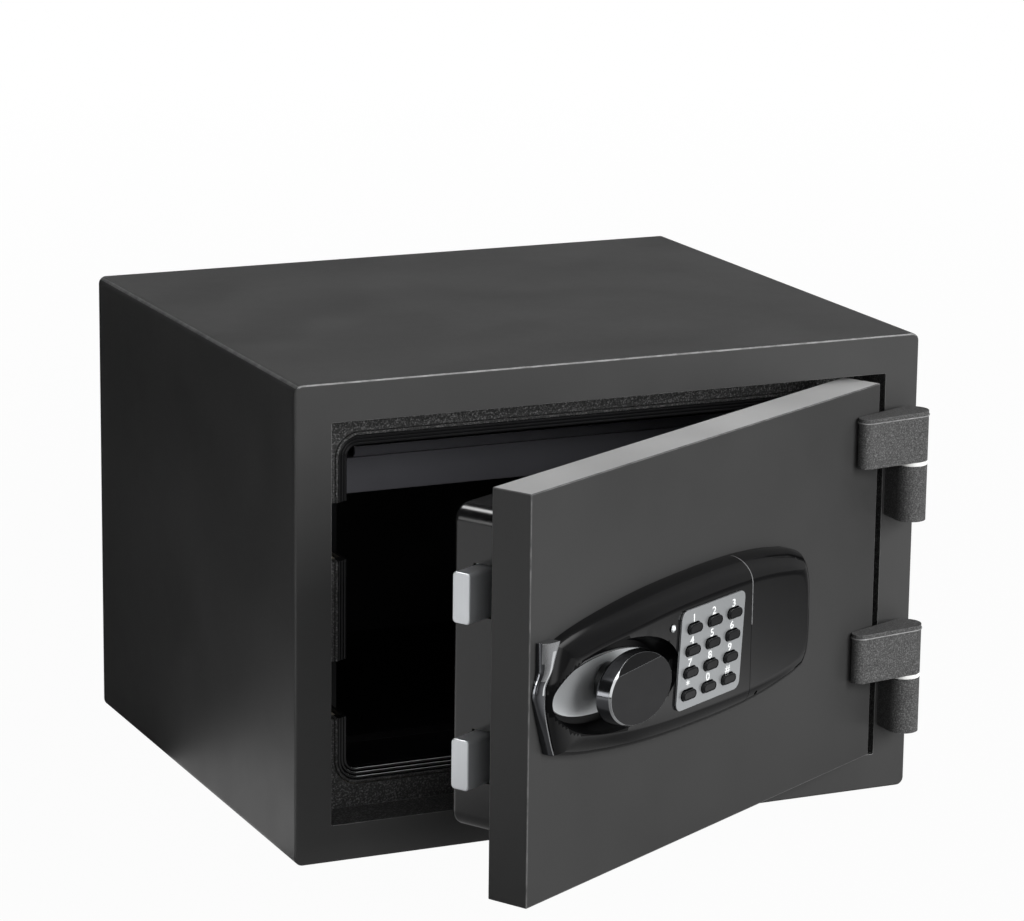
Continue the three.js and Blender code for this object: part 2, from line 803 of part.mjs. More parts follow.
function cam() {
  const disc = rodY(spindleX, spindleZ, camRadius, camFront, camBack, 40);
  const pinAngle = Math.PI / 4;
  const pin = rodY(
    spindleX + crank * Math.cos(pinAngle), spindleZ + crank * Math.sin(pinAngle),
    drivePinRadius, camBack - camThickness / 2, carriageBack + fit, 16,
  );
  const half = plungerRadius + fit;
  const floor = camRadius - camNotchDepth;
  const over = 2;
  const lockedNotch = boxBetween(
    spindleX - half, spindleX + half, camFront - 1, camBack + 1,
    spindleZ + floor, spindleZ + camRadius + over,
  );
  const thrownNotch = boxBetween(
    spindleX + floor, spindleX + camRadius + over, camFront - 1, camBack + 1,
    spindleZ - half, spindleZ + half,
  );
  return cut(join(disc, pin), lockedNotch, thrownNotch);
}

boltLevels.forEach((z, i) => {
  const place = ['upper', 'lower'][i];
  add(door, `bolt_${place}`, bolt(z), satinChrome);
  add(door, `bolt_guide_${place}`, boltGuide(z), nylon);
});
add(door, 'bolt_carriage', carriage(), zincSteel);
add(door, 'cam', cam(), zincSteel);

// Solenoid over the cam: its plunger drops into the cam's notch
const plungerTip = spindleZ + camRadius + fit;
const plungerY = (camFront + camBack) / 2;
const solenoidBottom = plungerTip + plungerReach;
const solenoidTop = boltLevels[0] - boltHeight / 2 - solenoidClearance;

function solenoid() {
  const half = solenoidSize / 2;
  const over = 1;
  return cut(
    boxBetween(
      spindleX - half, spindleX + half, doorBack + fit, plungerY + half, solenoidBottom, solenoidTop,
    ),
    rodZ(spindleX, plungerY, plungerRadius + fit, solenoidBottom - over, solenoidTop + over, 24),
  );
}

add(door, 'solenoid', solenoid(), zincSteel);
add(
  door, 'solenoid_plunger', rodZ(spindleX, plungerY, plungerRadius, plungerTip, solenoidTop, 20), satinChrome,
);

// Lock housing: a low boat-shaped shell along the door
// Its half height along its length, both as shares, from the free end to the hinge end
const housingSides = [
  [0.105, 0.79], [0.218, 0.885], [0.368, 0.965], [0.538, 1], [0.707, 0.995], [0.838, 0.94], [0.932, 0.855],
];
const housingSpan = housingRight - housingLeft;

// The bowed free end, from its middle (share 0) to its upper corner (share 1)
function freeEnd(share, out) {
  return new THREE.Vector2(housingLeft - out + endBow * share * share, housingEndHalf * share);
}

// The squarer hinge end, in the same shares
function hingeEnd(share, corner) {
  const bulge = Math.pow(1 - Math.pow(share, 4), 1 / 2.4);
  const reach = housingRight - corner.x;
  return new THREE.Vector2(corner.x + reach * bulge, corner.y * share);
}

function housingOutline() {
  const upper = housingSides.map(([along, half]) => (
    new THREE.Vector2(housingLeft + along * housingSpan, half * housingHalfHeight)
  ));
  const corner = upper[upper.length - 1];
  const side = new THREE.SplineCurve([freeEnd(1, 0), ...upper]).getPoints(24).reverse();
  const hingeHalf = [0, 0.3, 0.6, 0.86, 0.97].map((share) => hingeEnd(share, corner));
  const freeHalf = [0.8, 0.6, 0.4, 0.2, 0].map((share) => freeEnd(share, 0));
  const half = [...hingeHalf, ...side, ...freeHalf];
  const mirrored = half.slice(1, -1).reverse().map((p) => new THREE.Vector2(p.x, -p.y));
  return [...half, ...mirrored].map((p) => new THREE.Vector2(p.x + spindleX, p.y + spindleZ));
}

// The housing grows thinner towards the door's free edge
function taperTowardsEdge(geometry) {
  const position = geometry.attributes.position;
  const start = spindleX + housingLeft;
  for (let i = 0; i < position.count; i++) {
    const along = THREE.MathUtils.clamp((position.getX(i) - start) / housingTaperLength, 0, 1);
    const share = THREE.MathUtils.lerp(housingLeftHeight / housingHeight, 1, along);
    const height = front - position.getY(i);
    if (height > housingFloor) {
      position.setY(i, front - housingFloor - (height - housingFloor) * share);
    }
  }
  return geometry;
}

const housingRim = housingOutline();

function housingForm(shell) {
  const rise = housingHeight - shell - housingFloor;
  const levels = [];
  if (shell === 0) {
    levels.push({ height: fit });
  }
  for (const turn of [0, 1, 2, 3, 4, 5]) {
    const angle = (turn / 5) * (Math.PI / 2);
    levels.push({
      height: housingFloor + rise * Math.sin(angle),
      inset: shell + housingShoulder * (1 - Math.cos(angle)),
    });
  }
  levels.push({ height: housingFloor + rise, inset: shell + 2 * housingShoulder });
  return taperTowardsEdge(loftOnFace(housingRim, levels, shrinkOutline));
}

const wellOutline = oval(spindleX, spindleZ, wellHalfLength, wellHalfHeight, 40);
const seamX = spindleX + coverSeam;
const far = 400;

// Keypad layout
const keypadX = spindleX + keypadOffset;
const keypadZ = spindleZ + keypadRise;
const keypadBase = housingHeight + fit;
const keypadTop = keypadBase + keypadThickness;
const lensPlace = { x: keypadX - keypadHalfWidth - lensInset, z: keypadZ + lensLift };
const keyNames = ['1', '2', '3', '4', '5', '6', '7', '8', '9', 'star', '0', 'hash'];

function slantedPlate(margin, radius, steps) {
  const outline = roundedBox(
    keypadX - keypadHalfWidth + margin, keypadX + keypadHalfWidth - margin,
    keypadZ - keypadHalfHeight + margin, keypadZ + keypadHalfHeight - margin, radius, steps,
  );
  return outline.map((p) => new THREE.Vector2(p.x + (p.y - keypadZ) * keypadSlant, p.y));
}

const keypadOutline = slantedPlate(0, keypadCornerRadius, 6);

function keyPlace(i) {
  const row = 1.5 - Math.floor(i / 3);
  const column = (i % 3) - 1;
  const z = keypadZ + row * keyPitchZ - keyDrop / 2;
  return { x: keypadX + column * keyPitchX + (z - keypadZ) * keyLean, z };
}

const keySpace = slantedPlate(boardMargin, keypadCornerRadius - boardMargin, 3);
const matTop = keypadBase - keyDepth - keyTravel - fit;
const matBottom = matTop - matThickness;
const boardTop = matBottom - fit;
const boardBottom = boardTop - boardThickness;

// Battery bay under the cover
const bayLeft = seamX + coverGap + trayWall;
const cellBottom = spindleZ - cellLength / 2;
const cellHeight = housingFloor + fit + trayWall + fit + cellRadius;

function lockHousing() {
  const full = housingForm(0);
  const leftPart = boxBetween(-far, seamX, front - far, front + far, -far, far);
  const floorPart = boxBetween(-far, far, front - housingFloor, front + far, -far, far);
  const body = common(full, join(leftPart, floorPart));
  const well = slabOnFace(wellOutline, wellFloor, far);
  const works = slabOnFace(keySpace, boardBottom - fit, far);
  const hole = rodY(spindleX, spindleZ, spindleRadius + spindleGap, front - far, front + 1);
  const lensHole = rodY(
    lensPlace.x, lensPlace.z, lensStemRadius + fit, front - far, front - boardTop + fit, 16,
  );
  return cut(body, well, works, hole, lensHole);
}

function batteryCover() {
  const rightPart = boxBetween(
    seamX + coverGap, far, front - far, front - housingFloor - fit, -far, far,
  );
  const outer = common(housingForm(0), rightPart);
  return cut(outer, housingForm(housingShell));
}

function batteryTray() {
  const width = cellPitch * cellCount;
  const low = housingFloor + fit;
  const left = bayLeft;
  const bottom = cellBottom - fit;
  const block = boxBetween(
    left, left + width + 2 * trayWall, front - low - cellRadius, front - low,
    bottom - trayWall, bottom + cellLength + 2 * fit + trayWall,
  );
  const inside = boxBetween(
    left + trayWall, left + width + trayWall, front - far, front - low - trayWall,
    bottom, bottom + cellLength + 2 * fit,
  );
  return cut(block, inside);
}

function lens() {
  const levels = [{ height: housingHeight + fit }];
  for (const turn of [1, 2, 3]) {
    const angle = (turn / 3.4) * (Math.PI / 2);
    levels.push({
      height: housingHeight + fit + lensRise * Math.sin(angle),
      inset: lensRadius * (1 - Math.cos(angle)),
    });
  }
  const dome = loftOnFace(oval(lensPlace.x, lensPlace.z, lensRadius, lensRadius, 16), levels);
  const stem = rodY(
    lensPlace.x, lensPlace.z, lensStemRadius, front - housingHeight - lensRise / 2, front - boardTop, 16,
  );
  return join(dome, stem);
}

add(door, 'lock_housing', lockHousing(), glossPlastic);
add(door, 'battery_cover', batteryCover(), glossPlastic);
add(door, 'battery_tray', batteryTray(), linerPlastic);
for (let i = 0; i < cellCount; i++) {
  const x = bayLeft + trayWall + cellPitch * (i + 0.5);
  const cell = rodZ(x, front - cellHeight, cellRadius, cellBottom, cellBottom + cellLength, 20);
  add(door, `battery_cell_${i + 1}`, cell, cellSkin);
}
add(door, 'status_lens', lens(), lensClear);

// Keypad: a plate with printed digits, and keys that travel through it
const keypadPlate = cut(
  loftOnFace(keypadOutline, [
    { height: keypadBase },
    { height: keypadTop - 0.3 },
    { height: keypadTop, inset: 0.3 },
  ]),
  ...keyNames.map((_, i) => {
    const { x, z } = keyPlace(i);
    return slabOnFace(pill(x, z, keyHalfWidth + keyGap, keyHalfHeight + keyGap), 0, far);
  }),
);
add(door, 'keypad_plate', keypadPlate, satinSilver);
add(door, 'key_mat', slabOnFace(insetOutline(keySpace, fit), matBottom, matTop), rubber);
add(door, 'circuit_board', slabOnFace(insetOutline(keySpace, fit), boardBottom, boardTop), boardGreen);
keyNames.forEach((label, i) => {
  const { x, z } = keyPlace(i);
  const key = loftOnFace(pill(x, z, keyHalfWidth, keyHalfHeight), [
    { height: keypadBase - keyDepth },
    { height: keypadTop + keyRise - 0.8 },
    { height: keypadTop + keyRise - 0.2, inset: 0.4 },
    { height: keypadTop + keyRise, inset: 1.2 },
  ]);
  add(door, `key_${label}`, key, keyRubber);
});

// Knob on its spindle, over a satin oval in the housing's well
const inlay = cut(
  loftOnFace(oval(spindleX, spindleZ, inlayHalfLength, inlayHalfHeight, 40), [
    { height: wellFloor + fit },
    { height: wellFloor + fit + inlayThickness },
  ]),
  rodY(spindleX, spindleZ, spindleRadius + spindleGap, front - far, front),
);
add(door, 'oval_inlay', inlay, satinSilver);

function knob() {
  const stemFoot = wellFloor + fit + inlayThickness + fit;
  const grip = loftOnFace(oval(spindleX, spindleZ, knobHalfWidth, knobHalfHeight, 40), [
    { height: knobUnderside, inset: 3.5 },
    { height: knobUnderside + 0.8, inset: 1.4 },
    { height: knobUnderside + 2.2 },
    { height: knobFront - 1.8 },
    { height: knobFront - 0.5, inset: 0.7 },
    { height: knobFront, inset: 2.2 },
  ]);
  const stem = rodY(spindleX, spindleZ, knobStemRadius, front - knobUnderside - 1, front - stemFoot, 32);
  const socket = rodY(
    spindleX, spindleZ, spindleRadius + fit, front - knobUnderside - knobSocketDepth, front,
  );
  return cut(join(grip, stem), socket);
}

add(door, 'knob', knob(), glossPlastic);
add(
  door, 'spindle',
  rodY(spindleX, spindleZ, spindleRadius, front - knobUnderside - knobSocketDepth + fit, camFront - fit, 24),
  zincSteel,
);

// Crescent grip round the housing's free end
function pullGrip() {
  const gap = 2 * fit;
  const inner = [];
  const outer = [];
  const steps = 16;
  for (let i = 0; i <= steps; i++) {
    const share = -1 + (2 * i) / steps;
    inner.push(freeEnd(share, gap));
    outer.push(freeEnd(share, gap + gripThickness * (1 - 0.55 * share ** 4)));
  }
  const outline = [...inner, ...outer.reverse()].map((p) => p.add(new THREE.Vector2(spindleX, spindleZ)));
  return loftOnFace(outline, [
    { height: fit },
    { height: gripHeight - 1.4 },
    { height: gripHeight - 0.4, inset: 0.4 },
    { height: gripHeight, inset: 1 },
  ]);
}

add(door, 'pull_grip', pullGrip(), brightChrome);

export default safe;
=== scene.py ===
"""A small fire-resistant safe with its door ajar: fine shapes, finishes, light and camera.

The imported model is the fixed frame. Every piece here takes its place from that frame's nodes
and its details from the real sizes written in each class, in metres.
"""

import json
import logging
import math
from dataclasses import dataclass, field
from enum import Enum
from typing import Callable, List, Sequence, Tuple

import bmesh
import bpy
from mathutils import Matrix, Vector


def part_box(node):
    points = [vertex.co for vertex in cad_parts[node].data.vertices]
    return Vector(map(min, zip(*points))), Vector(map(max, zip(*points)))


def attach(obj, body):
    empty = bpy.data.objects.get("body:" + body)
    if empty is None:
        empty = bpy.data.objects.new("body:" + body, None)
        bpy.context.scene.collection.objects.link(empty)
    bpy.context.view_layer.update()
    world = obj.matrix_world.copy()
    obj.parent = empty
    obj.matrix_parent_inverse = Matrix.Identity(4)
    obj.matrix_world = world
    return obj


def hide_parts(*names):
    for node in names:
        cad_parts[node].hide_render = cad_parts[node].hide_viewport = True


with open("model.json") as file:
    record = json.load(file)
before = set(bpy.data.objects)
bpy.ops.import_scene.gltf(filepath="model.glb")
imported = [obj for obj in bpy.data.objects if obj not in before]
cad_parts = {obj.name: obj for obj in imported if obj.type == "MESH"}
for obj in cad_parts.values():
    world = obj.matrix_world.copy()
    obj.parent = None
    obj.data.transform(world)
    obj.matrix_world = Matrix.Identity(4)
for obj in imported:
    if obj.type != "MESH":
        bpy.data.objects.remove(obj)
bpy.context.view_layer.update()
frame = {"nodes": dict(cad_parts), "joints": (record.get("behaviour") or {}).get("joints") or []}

MM = 0.001
# How far a cutter reaches past the surface that it opens
OVER = 1 * MM
# Segments in a large corner, which shows as an arc
CORNER_STEPS = 10
NOISE_ROUGHNESS = 0.55
WHITE = (1, 1, 1, 1)
log = logging.getLogger("safe")
Test = Callable[[Vector, Vector], bool]
Levels = Sequence[Tuple[float, float]]
Tree = bpy.types.NodeTree
Socket = bpy.types.NodeSocket


class Side(Enum):
    """A direction along one axis of the frame."""

    LEFT = (-1, 0, 0)
    RIGHT = (1, 0, 0)
    FRONT = (0, -1, 0)
    BACK = (0, 1, 0)
    UP = (0, 0, 1)

    @property
    def vector(self) -> Vector:
        """The direction as a unit vector."""
        return Vector(self.value)


@dataclass(frozen=True)
class Extent:
    """A box given by its lowest and highest corners."""

    low: Vector
    high: Vector

    @classmethod
    def round_points(cls, points: Sequence[Vector]) -> "Extent":
        """The smallest box round some points."""
        return cls(*(Vector([pick(p[i] for p in points) for i in range(3)]) for pick in (min, max)))

    @property
    def centre(self) -> Vector:
        """The middle of the box."""
        return (self.low + self.high) / 2

    @property
    def size(self) -> Vector:
        """The lengths of its sides."""
        return self.high - self.low

    def grown(self, x: float = 0, y: float = 0, z: float = 0) -> "Extent":
        """The box with each pair of sides moved outwards by the given lengths."""
        step = Vector((x, y, z))
        return Extent(self.low - step, self.high + step)

    def between(self, side: Side, start: float, end: float) -> "Extent":
        """The box with new limits along one axis.

        Args:
            side: any direction along the axis.
            start: the new lowest coordinate on that axis.
            end: the new highest coordinate on that axis.

        Returns:
            The changed box.
        """
        axis = next(i for i in range(3) if side.value[i])
        low, high = self.low.copy(), self.high.copy()
        low[axis], high[axis] = start, end
        return Extent(low, high)


class Layout:
    """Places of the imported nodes, in the frame as it stands and with the door shut."""

    def __init__(self, joints: Sequence[dict], nodes: dict) -> None:
        """Reads the door's hinge from the frame.

        Args:
            joints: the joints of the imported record.
            nodes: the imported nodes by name.
        """
        hinge = next(j for j in joints if j["name"] == "door_swing")
        self.nodes = nodes
        self.pin = Vector((hinge["pos_m"][0], hinge["pos_m"][1], 0))
        ajar = -math.radians(hinge["range_deg"][0])
        turn = Matrix.Rotation(ajar, 4, "Z")
        self.swing = Matrix.Translation(self.pin) @ turn @ Matrix.Translation(-self.pin)
        self.shut = self.swing.inverted()

    def box(self, node: str) -> Extent:
        """The place of a node as it stands."""
        return Extent(*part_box(node))

    def shut_box(self, node: str) -> Extent:
        """The place that a node of the door has while the door is shut."""
        return Extent.round_points([self.shut @ v.co for v in self.nodes[node].data.vertices])


def smooth_step(share: float) -> float:
    """Rises smoothly from 0 to 1 as a share does, and stays there."""
    share = min(1.0, max(0.0, share))
    return share * share * (3 - 2 * share)


def on_rounding(middle: Vector, normal: Vector) -> bool:
    """Whether a face lies on a rounded edge, slanted to all three axes' planes."""
    return max(abs(part) for part in normal) < 0.985


class Piece:
    """One object being modelled: a primitive that edit-mode operators and modifiers shape."""

    def __init__(self, made: bpy.types.Object, name: str) -> None:
        """Takes over an object.

        Args:
            made: the object.
            name: its new name.
        """
        self.object = made
        self.object.name = name
        self.object.data.name = name

    @staticmethod
    def deselect_all() -> None:
        """Leaves edit mode and deselects everything."""
        if bpy.context.object and bpy.context.object.mode != "OBJECT":
            bpy.ops.object.mode_set(mode="OBJECT")
        bpy.ops.object.select_all(action="DESELECT")

    @classmethod
    def applied(cls, name: str) -> "Piece":
        """Takes over the active object and applies its place, turn and scale to its mesh."""
        bpy.ops.object.transform_apply(location=True, rotation=True, scale=True)
        return cls(bpy.context.object, name)

    @classmethod
    def block(cls, name: str, extent: Extent) -> "Piece":
        """A rectangular block.

        Args:
            name: the piece's name.
            extent: the space that it fills.

        Returns:
            The piece.
        """
        cls.deselect_all()
        bpy.ops.mesh.primitive_cube_add(size=1, location=extent.centre)
        bpy.context.object.scale = extent.size
        return cls.applied(name)

    @classmethod
    def rod(cls, name: str, centre: Vector, radius: float, length: float, side: Side,
            sides: int = 64) -> "Piece":
        """A cylinder.

        Args:
            name: the piece's name.
            centre: its middle.
            radius: its radius.
            length: its length.
            side: a direction along its axis.
            sides: its number of sides.

        Returns:
            The piece.
        """
        cls.deselect_all()
        turn = side.vector.to_track_quat("Z", "Y").to_euler()
        bpy.ops.mesh.primitive_cylinder_add(
            vertices=sides, radius=radius, depth=length, location=centre, rotation=turn
        )
        return cls.applied(name)

    @classmethod
    def plate(cls, name: str, outline: Sequence[Vector]) -> "Piece":
        """A flat face that looks forwards, ready to be drawn out into a solid.

        Args:
            name: the piece's name.
            outline: its corners, anticlockwise as seen from the front.

        Returns:
            The piece.
        """
        cls.deselect_all()
        bpy.ops.mesh.primitive_circle_add(
            vertices=len(outline), radius=1, fill_type="NGON", rotation=(math.pi / 2, 0, 0)
        )
        piece = cls.applied(name)
        for corner, place in zip(piece.object.data.vertices, outline):
            corner.co = place
        return piece.face_out()

    def activate(self) -> None:
        """Makes this the only selected and active object."""
        self.deselect_all()
        self.object.select_set(True)
        bpy.context.view_layer.objects.active = self.object

    def edit_all(self) -> None:
        """Enters edit mode and selects the whole mesh."""
        self.activate()
        bpy.ops.object.mode_set(mode="EDIT")
        bpy.ops.mesh.select_all(action="SELECT")

    def done(self) -> "Piece":
        """Leaves edit mode."""
        bpy.ops.object.mode_set(mode="OBJECT")
        return self

    def face_out(self) -> "Piece":
        """Turns every face outwards.

        Returns:
            The piece.
        """
        self.edit_all()
        bpy.ops.mesh.normals_make_consistent(inside=False)
        return self.done()

    def pick(self, kind: str, test: Test) -> None:
        """Enters edit mode and selects the faces or edges that pass a test.

        Args:
            kind: FACE or EDGE.
            test: takes a face's middle and normal, or an edge's middle and direction.
        """
        self.activate()
        bpy.ops.object.mode_set(mode="EDIT")
        bpy.ops.mesh.select_mode(type=kind)
        bpy.ops.mesh.select_all(action="DESELECT")
        form = bmesh.from_edit_mesh(self.object.data)
        if kind == "FACE":
            picked = [f for f in form.faces if test(f.calc_center_median(), f.normal)]
        else:
            ends = [(e, *(v.co for v in e.verts)) for e in form.edges]
            picked = [e for e, a, b in ends if test((a + b) / 2, (b - a).normalized())]
        for part in picked:
            part.select_set(True)
        bmesh.update_edit_mesh(self.object.data)

    def bevel(self, radius: float, steps: int, test: Test) -> "Piece":
        """Rounds the edges that pass a test.

        Args:
            radius: the radius.
            steps: segments across the rounding.
            test: takes an edge's middle and direction.

        Returns:
            The piece.
        """
        self.pick("EDGE", test)
        bpy.ops.mesh.bevel(offset=radius, segments=steps, affect="EDGES")
        return self.done()

    def round_along(self, side: Side, radius: float, steps: int = 8) -> "Piece":
        """Rounds the edges of a block that run along one axis."""
        return self.bevel(radius, steps, lambda _, way: abs(way.dot(side.vector)) > 0.99)

    def round_rim(self, side: Side, radius: float, steps: int = 4) -> "Piece":
        """Rounds the rim of the outermost face on one side.

        Args:
            side: the side.
            radius: the radius.
            steps: segments across the rounding.

        Returns:
            The piece.
        """
        reach = max(v.co.dot(side.vector) for v in self.object.data.vertices)
        return self.bevel(radius, steps, lambda middle, way: (
            middle.dot(side.vector) > reach - 1e-6 and abs(way.dot(side.vector)) < 0.01
        ))

    def stack(self, levels: Levels) -> "Piece":
        """Draws a plate out into a solid through levels of given height and inset.

        Args:
            levels: pairs of height above the plate and inset of the outline, both in metres.

        Returns:
            The piece.
        """
        space = Extent.round_points([v.co for v in self.object.data.vertices])
        wide, tall = space.size.x / 2, space.size.z / 2
        height, inset = 0.0, 0.0
        self.pick("FACE", lambda middle, normal: True)
        for next_height, next_inset in levels:
            rise = (0, height - next_height, 0)
            scale = ((wide - next_inset) / (wide - inset), 1, (tall - next_inset) / (tall - inset))
            bpy.ops.mesh.extrude_region_move(TRANSFORM_OT_translate={"value": rise})
            bpy.ops.transform.resize(value=scale, center_override=space.centre)
            height, inset = next_height, next_inset
        return self.done().face_out()

    def modify(self, kind: str, **settings: object) -> "Piece":
        """Adds a modifier and applies it.

        Args:
            kind: the modifier's type.
            **settings: its settings.

        Returns:
            The piece.
        """
        self.activate()
        modifier = self.object.modifiers.new(kind.lower(), kind)
        for key, value in settings.items():
            setattr(modifier, key, value)
        bpy.ops.object.modifier_apply(modifier=modifier.name)
        return self

    def combine(self, operation: str, others: Sequence["Piece"]) -> "Piece":
        """Applies a boolean with each of the other pieces and deletes them.

        Args:
            operation: DIFFERENCE or UNION.
            others: the other pieces.

        Returns:
            The piece.
        """
        for other in others:
            self.modify("BOOLEAN", operation=operation, solver="EXACT", object=other.object)
            bpy.data.objects.remove(other.object)
        return self

    def cut(self, *tools: "Piece") -> "Piece":
        """Cuts other pieces out of this one."""
        return self.combine("DIFFERENCE", tools)

    def weld(self, *others: "Piece") -> "Piece":
        """Joins other pieces to this one as one solid."""
        return self.combine("UNION", others)

    def gather(self, *others: "Piece") -> "Piece":
        """Takes other pieces into this object, each keeping its own shell.

        Args:
            *others: the other pieces.

        Returns:
            The piece.
        """
        self.activate()
        for other in others:
            other.object.select_set(True)
        bpy.ops.object.join()
        return self

    def bisect(self, point: Vector, way: Vector, clear: bool) -> "Piece":
        """Splits the piece along a plane.

        Args:
            point: a point of the plane.
            way: the direction square to it.
            clear: whether what lies behind it is cut off and the cut closed.

        Returns:
            The piece.
        """
        self.edit_all()
        bpy.ops.mesh.bisect(plane_co=point, plane_no=way, use_fill=clear, clear_inner=clear)
        return self.done()

    def keep_side(self, point: Vector, way: Vector) -> "Piece":
        """Keeps what lies before a plane and closes the cut."""
        return self.bisect(point, way, True)

    def score(self, point: Vector, way: Vector) -> "Piece":
        """Splits the faces along a plane, so that its two sides can be dressed apart."""
        return self.bisect(point, way, False)

    def groove(self, side: Side, start: float, end: float, depth: float) -> "Piece":
        """Sinks a narrow band all round the piece.

        Args:
            side: the direction square to the band.
            start: where the band starts along it.
            end: where it ends.
            depth: how deep it is.

        Returns:
            The piece.
        """
        for level in (start, end):
            self.score(side.vector * level, side.vector)
        self.pick("FACE", lambda middle, normal: (
            start < middle.dot(side.vector) < end and abs(normal.dot(side.vector)) < 0.5
        ))
        bpy.ops.mesh.extrude_region_shrink_fatten(TRANSFORM_OT_shrink_fatten={"value": depth})
        return self.done()

    def soften(self, width: float, steps: int = 3, angle: float = 50) -> "Piece":
        """Rounds every edge sharper than an angle by a small radius.

        Args:
            width: the rounding's width.
            steps: segments across it.
            angle: the angle in degrees.

        Returns:
            The piece.
        """
        return self.modify(
            "BEVEL", width=width, segments=steps, limit_method="ANGLE", angle_limit=math.radians(angle),
            use_clamp_overlap=True, miter_outer="MITER_ARC",
        )

    def smooth(self, angle: float = 40) -> "Piece":
        """Shades roundings smooth and flats flat, and keeps sharp edges.

        Args:
            angle: the angle in degrees from which an edge counts as sharp.

        Returns:
            The piece.
        """
        self.activate()
        bpy.ops.object.shade_smooth_by_angle(angle=math.radians(angle))
        return self.modify("WEIGHTED_NORMAL", keep_sharp=True, weight=100)

    def paint(self, finish: "Finish") -> "Piece":
        """Gives the whole piece a finish."""
        self.object.data.materials.append(finish.material())
        return self

    def dress(self, base: "Finish", other: "Finish", test: Test) -> "Piece":
        """Gives the faces that pass a test a finish of their own.

        Args:
            base: the finish of the rest, used where the piece has none yet.
            other: the finish of those faces.
            test: takes a face's middle and its normal.

        Returns:
            The piece.
        """
        mesh = self.object.data
        if not mesh.materials:
            self.paint(base)
        self.paint(other)
        for polygon in mesh.polygons:
            if test(polygon.center, polygon.normal):
                polygon.material_index = len(mesh.materials) - 1
        return self

    def place(self, matrix: Matrix) -> "Piece":
        """Moves the finished piece and applies the move to its mesh.

        Args:
            matrix: the move.

        Returns:
            The piece.
        """
        self.activate()
        self.object.matrix_world = matrix @ self.object.matrix_world
        bpy.ops.object.transform_apply(location=True, rotation=True, scale=True)
        return self

    def copy(self, name: str, move: Vector) -> "Piece":
        """Copies the piece, with a mesh of its own, to a place beside it.

        Args:
            name: the copy's name.
            move: how far it lies from the piece.

        Returns:
            The copy.
        """
        self.activate()
        bpy.ops.object.duplicate(linked=False)
        return Piece(bpy.context.object, name).place(Matrix.Translation(move))

    def hand_in(self, body: str, slot: str, finish: "Finish", *nodes: str) -> None:
        """Gives the piece its finish and ties it to the frame.

        Args:
            body: the body that it rides on.
            slot: the record's material slot; not used.
            finish: the finish, used where the piece has none yet.
            *nodes: the nodes that it stands for.
        """
        if not self.object.data.materials:
            self.paint(finish)
        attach(self.object, body)
        if nodes:
            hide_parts(*nodes)
        log.info("%s: %d faces, rides on %s", self.object.name, len(self.object.data.polygons), body)


def linear(hex_colour: str, share: float = 1.0) -> Tuple[float, float, float, float]:
    """Turns an sRGB hex colour into a linear one with full alpha.

    Args:
        hex_colour: six hex digits after a hash.
        share: how bright the result is against the colour itself.

    Returns:
        Red, green, blue and alpha.
    """
    parts = [int(hex_colour[i : i + 2], 16) / 255 for i in (1, 3, 5)]
    parts = [c / 12.92 if c <= 0.04045 else ((c + 0.055) / 1.055) ** 2.4 for c in parts]
    return tuple(min(1, c * share) for c in parts) + (1.0,)


def add_node(tree: Tree, kind: str, settings: dict) -> bpy.types.Node:
    """Adds a shader node with its settings and incoming links.

    Args:
        tree: the node tree.
        kind: the node's type.
        settings: values or output sockets, by attribute, input name or input number.

    Returns:
        The node.
    """
    node = tree.nodes.new(kind)
    for key, value in settings.items():
        if isinstance(value, Socket):
            tree.links.new(value, node.inputs[key])
        elif isinstance(key, str) and key not in node.inputs:
            setattr(node, key, value)
        else:
            node.inputs[key].default_value = value
    return node


